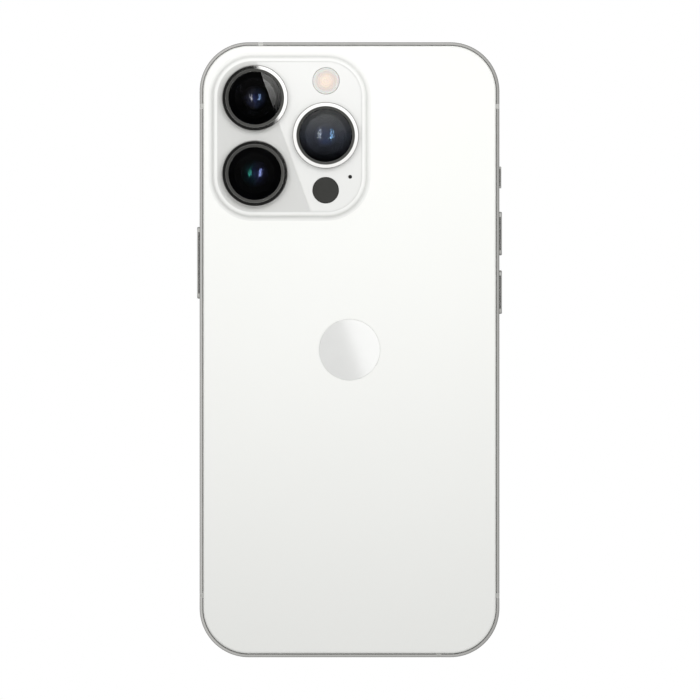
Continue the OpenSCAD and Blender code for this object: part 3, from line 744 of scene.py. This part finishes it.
def bottom_holes(shape):
    """The charge port's mouth, the two grilles and the two screws' seats."""

    def hole(outline, x, edge, inner=BAND_WALL):
        to_point = lambda p, depth: (x + p[1], p[0], -depth)
        return slot_rows(shape, outline, to_point, 0, -inner, edge)

    made = [hole(lambda grow: stadium(*PORT_HALF, grow, 16), 0, 0.16)]
    for x in SPEAKER_HOLES + MICROPHONE_HOLES:
        made.append(hole(lambda grow: disc(HOLE_R + grow), x, 0.08))
    for x in (-SCREW_X, SCREW_X):
        mouth, seat = hole(lambda grow: disc(SCREW_SEAT_R + grow), x, 0.06, SCREW_SEAT_Z)
        bore = [shape.row([(x + p[1], p[0], z) for p in disc(SCREW_BORE_R)]) for z in (SCREW_SEAT_Z, BAND_WALL)]
        shape.skin([seat, *bore])
        made.append((mouth, bore[-1]))
    return made


def steel_band():
    side_low, side_high = RAIL_LOW.z - 2 * BREAK_HALF, RAIL_HIGH.z + 2 * BREAK_HALF
    top_left_end = box("band_corner_top_left")[1].x
    top_start = box("band_top")[0].x
    bottom_end = box("band_bottom")[1].x
    corner_start = box("band_corner_bottom_right")[0].x
    switch = (middle("ring_switch").z, lambda grow: rounded_outline(**SWITCH_SLOT, grow=grow))
    tray = (TRAY_Z, lambda grow: stadium(TRAY_HALF[0] + BUTTON_GAP, TRAY_HALF[1] + BUTTON_GAP, grow))
    slots = [button_slot("volume_up_button"), button_slot("volume_down_button"), switch, tray]
    for name, side, own in (("right", 1, slots), ("left", -1, [button_slot("side_button")])):
        rail = straight(side, RAIL_LOW.z, RAIL_HIGH.z)
        band_piece(f"rail_{name}", f"band_{name}", rail, side_slots(side, own))
    top = straight(1, side_high, CORNER_HIGH)[:1] + corner_stations(1, CORNER_X, CORNER_HIGH)
    top += level(CORNER_HIGH, 1, top_start, CORNER_X)[1:]
    band_piece("rail_top", "band_top", top)
    corner = level(CORNER_HIGH, 1, -CORNER_X, top_left_end)[:1] + corner_stations(2, -CORNER_X, CORNER_HIGH)
    corner += straight(-1, side_high, CORNER_HIGH)[1:]
    band_piece("rail_corner_top_left", "band_corner_top_left", corner)
    bottom = straight(-1, CORNER_R, side_low)[:1] + corner_stations(3, -CORNER_X, CORNER_R)
    bottom += level(CORNER_R, -1, -CORNER_X, bottom_end)[1:]
    band_piece("rail_bottom", "band_bottom", bottom, bottom_holes, len(bottom) - 2)
    corner = level(CORNER_R, -1, corner_start, CORNER_X)[:1] + corner_stations(0, CORNER_X, CORNER_R)
    corner += straight(1, CORNER_R, side_low)[1:]
    band_piece("rail_corner_bottom_right", "band_corner_bottom_right", corner)


def antenna_breaks():
    half = BREAK_HALF - BREAK_GAP
    z_low, z_high = RAIL_LOW.z - BREAK_HALF, RAIL_HIGH.z + BREAK_HALF
    top_x = box("band_top")[0].x - BREAK_HALF
    bottom_x = box("band_bottom")[1].x + BREAK_HALF
    shape = Shape()
    for side in (-1, 1):
        for z in (z_low, z_high):
            add_band(shape, straight(side, z - half, z + half))
    add_band(shape, level(CORNER_HIGH, 1, top_x - half, top_x + half))
    add_band(shape, level(CORNER_R, -1, bottom_x - half, bottom_x + half))
    shape.finish("antenna_strips", "root", [ANTENNA], ["antenna_inserts"])


# -------- buttons, switch and tray


def pill(shape, outline, to_point, base, top, edge):
    """A closed key: an outline from base to top, with a rounded outer edge."""
    rows = [shape.row([to_point(p, base) for p in outline(0)])]
    for a in (0, pi / 10, pi / 5, 3 * pi / 10, 2 * pi / 5, pi / 2):
        rows.append(shape.row([to_point(p, top - edge * (1 - sin(a))) for p in outline(edge * (cos(a) - 1))]))
    shape.skin(rows)
    return rows[0], rows[-1]


def push_button(node):
    """The key, and the flange behind it that keeps it in."""
    low, high = box(node)
    side = 1 if high.x > HALF_W else -1
    top = high.x if side > 0 else -low.x
    inner = low.x if side > 0 else -high.x
    z, half = middle(node).z, button_half_len(node)
    flange_x = inner + FLANGE_T
    shape = Shape()
    to_point = lambda p, depth: (side * depth, p[0], z + p[1])
    outline = lambda grow: stadium(half, BUTTON_HALF_W, grow, 16)
    base, face = pill(shape, outline, to_point, flange_x - 0.1, top, 0.3)
    shape.cap(base, drop=0)
    shape.cap(face, drop=0)
    ends = sorted((side * inner, side * flange_x))
    shape.block((ends[0], low.y, low.z), (ends[1], high.y, high.z), 0.12)
    shape.finish(f"{node}_key", node, [STEEL], [node])


def ring_switch():
    """The lever on its slide, the orange marking it uncovers, and the orange field behind it."""
    low, high = box("ring_switch")
    z = middle("ring_switch").z
    slide_x, lever_y, field_x = 34.13, 0.625, 33.5
    shape = Shape()
    to_point = lambda p, depth: (depth, lever_y + p[0], z + p[1])
    outline = lambda grow: rounded_outline(0.725, 2.6, 0.6, grow, 8)
    base, face = pill(shape, outline, to_point, slide_x - 0.13, high.x, 0.22)
    shape.cap(base, drop=0)
    shape.cap(face, drop=0)
    shape.block(low, (slide_x, high.y, high.z), 0.1)
    shape.finish("ring_switch_lever", "ring_switch", [STEEL], ["ring_switch"])
    marking = Shape()
    marking.block((slide_x, 1.38, z - 2.7), (slide_x + PAINT_T, high.y, z + 2.7), 0.01)
    marking.finish("ring_switch_marking", "ring_switch", [ORANGE])
    field = Shape()
    field.block((field_x, 0.3, z - 2.9), (field_x + PAINT_T, 1.7, z + 2.9), 0.01)
    field.finish("ring_switch_field", "root", [ORANGE])


def sim_tray():
    """The tray's face with its eject hole, and the frame that holds the card."""
    low = box("sim_tray")[0]
    base_x, eject_r, eject_z, card_y, half_y = 34.3, 0.45, -6, -0.2, 0.8
    shape = Shape()
    to_point = lambda p, depth: (depth, p[0], TRAY_Z + p[1])
    outline = lambda grow: stadium(*TRAY_HALF, grow, 16)
    base, face = pill(shape, outline, to_point, base_x, HALF_W, 0.08)
    hole = lambda grow: [(across, eject_z + along) for across, along in disc(eject_r + grow)]
    mouth, back = slot_rows(shape, hole, to_point, HALF_W, base_x, 0.05)
    shape.cap(face, [mouth], drop=0)
    shape.cap(base, [back], drop=0)
    loop = lambda x0, z0, x1, z1: [(x0, z0), (x1, z0), (x1, z1), (x0, z1)]
    frame_edge = loop(low.x, 58.6, base_x + 0.1, 69.6)
    pocket = loop(20.9, 59.6, 33.4, 68.6)
    window = loop(23, 61, 31, 67.2)
    rings = ((frame_edge, -half_y), (frame_edge, half_y), (pocket, half_y), (pocket, card_y))
    rings += ((window, card_y), (window, -half_y))
    rows = [shape.row([(x, y, z) for x, z in ring]) for ring, y in rings]
    shape.skin(rows + rows[:1])
    shape.finish("sim_tray_carrier", "sim_tray", [STEEL], ["sim_tray"])


# -------- cameras

COVER_R = box("telephoto_cover_glass")[1].x - place("telephoto_cover_glass")[0]
RING_R = box("telephoto_lens_ring")[1].x - place("telephoto_lens_ring")[0]
RING_TOP = -box("telephoto_lens_ring")[0].y
# A ring's neck in the back glass, and the ledge that its cover glass sits on
NECK_IN, NECK_R, NECK_END = 6.3, 7.45, -GLASS_IN - 0.175
SEAT_IN, SEAT_TOP, SEAT_BASE = 5.85, -RING_TOP + 0.9, -5.3
COVER_INK_R = 5.0
# Painted reflection: each window's reflection strength, graded from its bottom edge to its top
COVER_PAINTED_REFLECTION = {
    "telephoto": ((0.25, (0.1, 0.1, 0.1)), (0.95, (1, 1, 0.97))),
    "wide": ((0.0, (0.12, 0.13, 0.15)), (1.0, (1, 1, 1))),
    "ultrawide": ((0.05, (0.01, 0.012, 0.016)), (0.5, (0.17, 0.19, 0.24)), (0.95, (0.45, 0.46, 0.46))),
}
# Painted glow round each front element's axis, standing in for reflections inside the lens
LENS_PAINTED_GLOW = {
    "telephoto": dict(painted_core_glow=(0.02, 0.03, 0.09), painted_halo_glow=(0.004, 0.007, 0.028)),
    "wide": dict(painted_core_glow=(0.015, 0.02, 0.06), painted_halo_glow=(0.004, 0.006, 0.026)),
    "ultrawide": dict(painted_core_glow=(0.01, 0.03, 0.06), painted_halo_glow=(0.008, 0.014, 0.05)),
}
# The tints painted on a front element's reflections, left and right: a painted reflection colour for each side
REFLECTION_TINTS = {
    "telephoto": ((0.95, 0.95, 1.0), (0.5, 0.68, 1.0)),
    "wide": ((0.1, 0.75, 0.55), (0.5, 0.55, 1.0)),
    "ultrawide": ((0.85, 0.95, 1.0), (0.4, 0.72, 1.0)),
}
DOME_R = {"telephoto": 7.5, "wide": 9.5, "ultrawide": 12.0}
ELEMENT_R = {"telephoto": 3.0, "wide": 3.2, "ultrawide": 2.8}
MOUTH_R = {"telephoto": 4.6, "wide": 4.6, "ultrawide": 4.4}


def lens_ring(name):
    node = f"{name}_lens_ring"
    at = place(node)
    foot, edge = -PLATEAU_TOP - 0.02, 0.2
    outer_edge = [(RING_R - edge + edge * cos(a), -RING_TOP + edge * (1 - sin(a))) for a in QUARTER]
    bevel_out, bevel_in, bevel_y = 6.98, COVER_R + 0.05, -RING_TOP + 0.3
    profile = [(NECK_IN, NECK_END), (NECK_R, NECK_END), (NECK_R, foot), (RING_R - 0.04, foot)]
    profile += [(RING_R, foot - 0.04)] + outer_edge
    profile += [(bevel_out + 0.03, -RING_TOP), (bevel_out, -RING_TOP + 0.012), (bevel_in, bevel_y)]
    profile += [(bevel_in, SEAT_TOP), (SEAT_IN, SEAT_TOP), (SEAT_IN, SEAT_BASE), (NECK_IN, SEAT_BASE)]
    shape = Shape()
    revolve(shape, at, profile, 120, closed=True)
    for f in shape.bm.faces:
        centre = f.calc_center_median()
        r = sqrt((centre.x - at[0]) ** 2 + (centre.z - at[1]) ** 2)
        if r < bevel_out and centre.y < bevel_y + 1:
            f.material_index = 1
    shape.finish(f"{name}_trim_ring", "root", [RING_STEEL, RING_BEVEL], [node], sharp=22)


def cover_glass(name):
    """The sapphire window, with a black ring printed on its inner face."""
    node = f"{name}_cover_glass"
    low, high = box(node)
    at = place(node)
    e = 0.05
    shape = Shape()
    profile = [(0, low.y), (COVER_R - e, low.y), (COVER_R - 0.3 * e, low.y + 0.3 * e), (COVER_R, low.y + e)]
    profile += [(COVER_R, high.y)]
    rows = revolve(shape, at, profile, 120)
    shape.material = 1
    ink_row = shape.row(circle(at, COVER_INK_R, high.y, 120))
    shape.skin([rows[-1], ink_row])
    shape.material = 0
    shape.skin([ink_row, shape.row([(at[0], high.y, at[1])])])
    crystal = cover_crystal(name, at)
    shape.finish(f"{name}_window", "root", [crystal, INK], [node])


def barrel(name):
    """The moving barrel: stepped baffles down to a front element with a painted glow and painted reflection
    tints.
    """
    node = f"{name}_barrel"
    low, high = box(node)
    at = place(node)
    r_out, element_r, mouth_r, dome = high.x - at[0], ELEMENT_R[name], MOUTH_R[name], DOME_R[name]
    front, depth, steps = low.y, 1.15, 5
    floor = front + depth
    profile = [(0, high.y), (r_out, high.y), (r_out, front + 0.06), (r_out - 0.06, front)]
    for i in range(steps):
        r = mouth_r - (mouth_r - element_r) * i / steps
        profile += [(r, front + depth * i / steps), (r - 0.05, front + depth * (i + 1) / steps)]
    profile += [(element_r, floor), (element_r, floor + 0.12), (0, floor + 0.12)]
    shape = Shape()
    revolve(shape, at, profile, 96)
    shape.finish(f"{name}_barrel_body", f"{name}_focus", [BARREL], [node])
    edge_r, base, apex = element_r - 0.02, floor + 0.1, front + 0.4
    turns = [asin(edge_r / dome) * i / 16 for i in range(17)]
    cap = [(dome * sin(a), apex + dome * (1 - cos(a))) for a in turns]
    element = Shape()
    revolve(element, at, cap + [(edge_r, base), (0, base)], 96)
    painted_reflection = painted_lens_reflections(f"{name}_coating", at, element_r, REFLECTION_TINTS[name], **LENS_PAINTED_GLOW[name])
    element.finish(f"{name}_front_element", f"{name}_focus", [painted_reflection])


def flash():
    """A lens with stepped rings on its outer face."""
    low, high = box("flash_lens")
    r = high.x - flash_at[0]
    grooves = 5
    profile = [(0, high.y), (r, high.y), (r, low.y + 0.1), (r - 0.03, low.y + 0.03), (r - 0.1, low.y)]
    for i in range(grooves):
        out = (r - 0.35) * (1 - i / grooves)
        profile += [(out, low.y), (out - 0.06, low.y + 0.07), (out - 0.35, low.y + 0.01)]
    profile.append((0, low.y + 0.01))
    shape = Shape()
    revolve(shape, flash_at, profile, 96)
    shape.finish("flash_window", "root", [FLASH], ["flash_lens"])


def depth_window():
    low, high = box("depth_sensor_window")
    at = place("depth_sensor_window")
    r = high.x - at[0]
    profile = [(0, high.y), (r, high.y), (r, low.y + 0.06), (r - 0.02, low.y + 0.02)]
    profile += [(r - 0.06, low.y), (0, low.y)]
    shape = Shape()
    revolve(shape, at, profile, 96)
    shape.finish("depth_window", "root", [TINTED], ["depth_sensor_window"])


def microphone_gauze():
    """A gauze, with painted shade between its wires, inside the microphone's hole."""
    at = place("rear_microphone")
    y = -GLASS_IN - 1.2
    shape = Shape()
    revolve(shape, at, [(0, y - 0.05), (0.2, y - 0.04), (0.43, y), (0.43, y + 0.1), (0, y + 0.1)], 32)
    shape.finish("rear_microphone_gauze", "root", [MESH])


# -------- front

EARPIECE_Z = 144.2
EARPIECE_ROWS = [(HALF_T, 0.08), (HALF_T - 0.03, 0.03), (HALF_T - 0.08, 0.0), (GLASS_IN, 0.0)]
LIT_MARGIN = 3.35
LIT_R = 8.4
NOTCH = dict(half=14.2, z=136.4, r=2.0)


def lit_window():
    """The clear part of the front glass: a rounded rectangle with a notch at its top, as a loop."""
    side, top, steps = HALF_W - LIT_MARGIN, BODY_H - LIT_MARGIN, 12
    corners = rounded_stations(-side, side, LIT_MARGIN, top, LIT_R, steps)
    corners = [(cx + LIT_R * nx, cz + LIT_R * nz) for cx, cz, nx, nz in corners]
    half, z, r = NOTCH["half"], NOTCH["z"], NOTCH["r"]
    right = [(half, top)] + arc(half - r, z + r, r, 0, -90, 8)
    left = [(-x, z) for x, z in reversed(right)]
    top_right = 2 * (steps + 1)
    loop = corners[:top_right] + right + left + corners[top_right:]
    return [(x, GLASS_IN, z) for x, z in loop]


def front_glass():
    """Clear over the display and inked black round it, on its inner face."""
    shape = Shape()
    rows = glass_edge(shape, 1)
    slot = []
    for y, grow in EARPIECE_ROWS:
        outline = rounded_outline(5.5, 0.5, 0.45, grow)
        slot.append(shape.row([(x, y, EARPIECE_Z + z) for x, z in outline]))
    shape.skin(slot)
    shape.cap(rows[-1], [slot[0]])
    window = shape.row(lit_window())
    shape.cap(window)
    shape.material = 1
    shape.cap(rows[0], [window, slot[-1]])
    shape.finish("display_cover", "root", [DISPLAY_GLASS, INK], ["front_glass"])


# -------- bottom edge


def bottom_screws():
    """Two screws whose heads have five-lobed recesses."""
    low, high = box("bottom_screws")
    z, head_r, head_h, shank_r = low.z, 0.8, 0.8, 0.42
    lobes, lobe, recess_r, recess_h = 5, 0.1, 0.33, 0.4
    steps = 60
    turns = [2 * pi * i / steps for i in range(steps)]
    shape = Shape()
    for x in (-SCREW_X, SCREW_X):

        def loop(r, z, lobe=0.0):
            reach = [r + lobe * cos(lobes * a) for a in turns]
            return shape.row([(x + out * cos(a), out * sin(a), z) for out, a in zip(reach, turns)])

        rows = [loop(head_r - 0.1, z), loop(head_r - 0.03, z + 0.03), loop(head_r, z + 0.1)]
        rows += [loop(head_r, z + head_h), loop(shank_r, z + head_h), loop(shank_r, high.z)]
        shape.skin(rows)
        shape.cap(rows[-1], drop=2)
        recess = [loop(recess_r + 0.03, z, lobe)]
        recess += [loop(recess_r, z + depth, lobe) for depth in (0.04, recess_h)]
        shape.skin(recess)
        shape.cap(recess[-1], drop=2)
        shape.cap(rows[0], [recess[0]], drop=2)
    shape.finish("edge_screws", "root", [STEEL], ["bottom_screws"])


# -------- carried-over CAD nodes


def plain_materials():
    """Materials of the CAD nodes that are kept, by the record's slot."""
    made = {}
    # The slot, how metallic it is, then what varied() takes
    for slot, metallic, *looks in (
        ("black_frame", 0, (0.012, 0.012, 0.013), 0.2, 0.5, 0.06, 5, 0.002),
        ("gasket_rubber", 0, (0.02, 0.02, 0.02), 0.2, 0.7, 0.08, 5, 0.004),
        ("polyimide", 0, (0.45, 0.17, 0.03), 0.15, 0.35, 0.06, 2, 0.003),
        ("card_plastic", 0, (0.82, 0.82, 0.8), 0.03, 0.45, 0.05, 6, 0.002),
        ("led_phosphor", 0, (0.9, 0.72, 0.2), 0.08, 0.6, 0.05, 6, 0.01),
        ("sensor_black", 0, (0.012, 0.011, 0.02), 0.3, 0.15, 0.04, 4, 0.001),
        ("speaker_plastic", 0, (0.025, 0.025, 0.027), 0.15, 0.5, 0.06, 4, 0.004),
        ("diaphragm_film", 0, (0.06, 0.06, 0.065), 0.1, 0.45, 0.06, 3, 0.003),
        ("camera_housing", 0.6, (0.10, 0.10, 0.105), 0.1, 0.4, 0.08, 3, 0.004),
        ("chassis_aluminium", 1, (0.62, 0.63, 0.65), 0.05, 0.38, 0.06, 4, 0.003),
        ("stamped_steel", 1, (0.58, 0.58, 0.57), 0.06, 0.3, 0.06, 2, 0.003, (1, 1, 6)),
        ("gold_can", 1, (0.80, 0.58, 0.28), 0.05, 0.25, 0.05, 3, 0.002),
        ("screw_steel", 1, (0.55, 0.54, 0.52), 0.05, 0.25, 0.05, 6, 0.002),
        ("magnet_metal", 1, (0.48, 0.48, 0.5), 0.08, 0.3, 0.06, 3, 0.003),
        ("heavy_alloy", 1, (0.33, 0.33, 0.34), 0.08, 0.4, 0.06, 3, 0.005),
    ):
        made[slot] = varied(slot, *looks, Metallic=metallic)
    foil, black = (0.018, 0.018, 0.02), (0.006, 0.006, 0.007)
    made["battery_foil"] = varied("battery_foil", foil, 0.3, 0.38, 0.08, 1.2, 0.02, Coat_Weight=0.2)
    made["barrel_black"] = varied("barrel_black_kept", black, 0.2, 0.4, 0.06, 4, 0.002)
    return made


def dress_nodes():
    """Gives each CAD node that still shows its material, by its slot in the record."""
    made = plain_materials()
    made["display_film"] = FILM
    made["steel_mesh"] = MESH
    made["circuit_board"] = circuit_board()
    made["copper_winding"] = copper_winding(coil_at)
    for part in frame["record"]["subparts"]:
        node = frame["nodes"][part["node"]]
        node.data.materials.clear()
        if part["material_slot"] in made:
            node.data.materials.append(made[part["material_slot"]])


# -------- studio


def stage_mesh(name, verts, faces, material):
    mesh = bpy.data.meshes.new(name)
    mesh.from_pydata(verts, [], faces)
    obj = add_object(name, mesh)
    mesh.materials.append(material)
    obj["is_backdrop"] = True
    return obj


def floor():
    m = varied("floor_paper", (0.86, 0.86, 0.855), 0.01, 0.8, 0.05, 0.05, 0.02)
    half = 4.0
    corners = [(-half, -half, 0), (half, -half, 0), (half, half, 0), (-half, half, 0)]
    paper = stage_mesh("floor", corners, [(0, 1, 2, 3)], m)
    paper.visible_diffuse = False
    paper.visible_glossy = False


CARD_Y = -2.0
CARD_RIGHT = 60
# It glows brighter towards its top: the heights where that starts and ends, and the strengths there
CARD_FADE = (112 * MM, 142 * MM)
CARD_GLOW = (1.55, 2.4)
# The bright card's slanted left edge, in millimetres across and up
CARD_EDGE = [(-25.6, 151.5), (-9.16, 106.4), (-1.5, 80.9), (4.9, 61.5)]


def reflection_card():
    """A card far in front of the back, seen only in its polished faces: bright right of a slanted edge."""
    material = bpy.data.materials.new("card_glow")
    material.use_nodes = True
    tree = material.node_tree
    tree.nodes.clear()
    kinds = ("TexCoord", "SeparateXYZ", "Emission", "OutputMaterial")
    coordinates, split, glow, out = (tree.nodes.new(f"ShaderNode{kind}") for kind in kinds)
    tree.links.new(coordinates.outputs["Object"], split.inputs["Vector"])
    tree.links.new(graded(tree, split.outputs["Z"], *CARD_FADE, *CARD_GLOW), glow.inputs["Strength"])
    tree.links.new(glow.outputs["Emission"], out.inputs["Surface"])
    corners = CARD_EDGE + [(CARD_RIGHT, CARD_EDGE[-1][1]), (CARD_RIGHT, CARD_EDGE[0][1])]
    points = [(x * MM, CARD_Y, z * MM) for x, z in corners]
    card = stage_mesh("reflection_card", points, [tuple(range(len(points)))], material)
    card.visible_camera = False
    card.visible_diffuse = False
    card.visible_shadow = False


def area_light(name, at, towards, size, power, colour=(1, 1, 1), diffuse=True, glossy=True):
    light = bpy.data.lights.new(name, "AREA")
    light.shape = "RECTANGLE"
    light.size, light.size_y = size
    light.energy = power
    light.color = colour
    obj = add_object(name, light)
    obj.location = at
    obj.rotation_euler = (Vector(towards) - Vector(at)).to_track_quat("-Z", "Y").to_euler()
    obj.visible_camera = False
    obj.visible_diffuse = diffuse
    obj.visible_glossy = glossy
    obj.visible_transmission = glossy
    return obj


def light_only(light, pieces):
    """Keeps a light off everything but these pieces."""
    receivers = bpy.data.collections.new(f"{light.name}_receivers")
    for piece in pieces:
        receivers.objects.link(piece)
    light.light_linking.receiver_collection = receivers


def lights():
    """A soft key on everything, and three far lights that only glint in the cameras' front elements."""
    key_at, body, lens = (0.0, -0.20, 0.16), (0, 0, 0.088), (0, 0, 0.125)
    area_light("key", key_at, body, size=(0.26, 0.14), power=0.303, glossy=False)
    names = [f"{camera}_{piece}" for camera in CAMERAS for piece in ("front_element", "window")]
    distance = 1.0
    for name, turn, drop, size, power, colour in (
        ("glint_left", -15, 0.0, (0.15, 0.48), 3.3, (1, 1, 1)),
        ("glint_right", 16, 0.0, (0.17, 0.48), 4.8, (0.75, 0.85, 1)),
        ("glint_dot", 11, 0.14, (0.11, 0.11), 1.6, (1, 1, 1)),
    ):
        a = radians(turn)
        at = (distance * sin(a), -distance * cos(a), lens[2] - drop)
        glint = area_light(name, at, lens, size, power, colour, diffuse=False)
        light_only(glint, [bpy.data.objects[piece] for piece in names])


def world():
    """White to the camera. Reflections see a room that is dark straight ahead of the back, mid grey round
    it, lighter above and to the left, and dim in front of the display."""
    sky = bpy.data.worlds.new("studio")
    bpy.context.scene.world = sky
    sky.use_nodes = True
    tree = sky.node_tree
    tree.nodes.clear()
    new = tree.nodes.new
    coordinates = new("ShaderNodeTexCoord")
    split = new("ShaderNodeSeparateXYZ")
    tree.links.new(coordinates.outputs["Generated"], split.inputs["Vector"])
    x, y, z = (split.outputs[axis] for axis in "XYZ")
    light = graded(tree, y, -cos(radians(5)), -cos(radians(24)), 0.02, 0.47, "SMOOTHSTEP")
    upward = graded(tree, z, -0.2, 0.9, 1.3, 1.5)
    leftward = graded(tree, x, -1, 1, 1.15, 0.85)
    display_side = graded(tree, y, 0.0, 0.7, 1, 0.4)
    for factor in (upward, leftward, display_side):
        product = new("ShaderNodeMath")
        product.operation = "MULTIPLY"
        tree.links.new(light, product.inputs[0])
        tree.links.new(factor, product.inputs[1])
        light = product.outputs["Value"]
    room = new("ShaderNodeBackground")
    tree.links.new(light, room.inputs["Strength"])
    room.inputs["Color"].default_value = (1.0, 1.0, 0.985, 1)
    shown = room.outputs["Background"]
    path = new("ShaderNodeLightPath")
    for rays, strength in (("Is Diffuse Ray", 0.57), ("Is Camera Ray", 1.0)):
        even = new("ShaderNodeBackground")
        even.inputs["Color"].default_value = (1, 1, 1, 1)
        even.inputs["Strength"].default_value = strength
        mix = new("ShaderNodeMixShader")
        tree.links.new(path.outputs[rays], mix.inputs["Fac"])
        tree.links.new(shown, mix.inputs[1])
        tree.links.new(even.outputs["Background"], mix.inputs[2])
        shown = mix.outputs["Shader"]
    out = new("ShaderNodeOutputWorld")
    tree.links.new(shown, out.inputs["Surface"])


def camera():
    """Square on to the back, without perspective."""
    view_width, distance = 0.1670, 0.5
    shift_x, shift_z = 0.00011, -0.00006
    data = bpy.data.cameras.new("camera")
    data.type = "ORTHO"
    data.ortho_scale = view_width
    obj = add_object("camera", data)
    obj.location = (shift_x, -distance, BODY_H / 2 * MM + shift_z)
    obj.rotation_euler = (pi / 2, 0, 0)
    bpy.context.scene.camera = obj


def look():
    view = bpy.context.scene.view_settings
    view.view_transform = "Standard"
    view.look = "None"


# -------- build

camera()
look()
dress_nodes()
back_glass()
mark_disc()
steel_band()
antenna_breaks()
for button in BUTTONS:
    push_button(button)
ring_switch()
sim_tray()
for camera_name in CAMERAS:
    lens_ring(camera_name)
    cover_glass(camera_name)
    barrel(camera_name)
flash()
depth_window()
microphone_gauze()
front_glass()
bottom_screws()
floor()
reflection_card()
lights()
world()

boxes = {"cad": cad_bounds, "visual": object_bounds()}
{key: [list(corner) for corner in value] for key, value in boxes.items()}
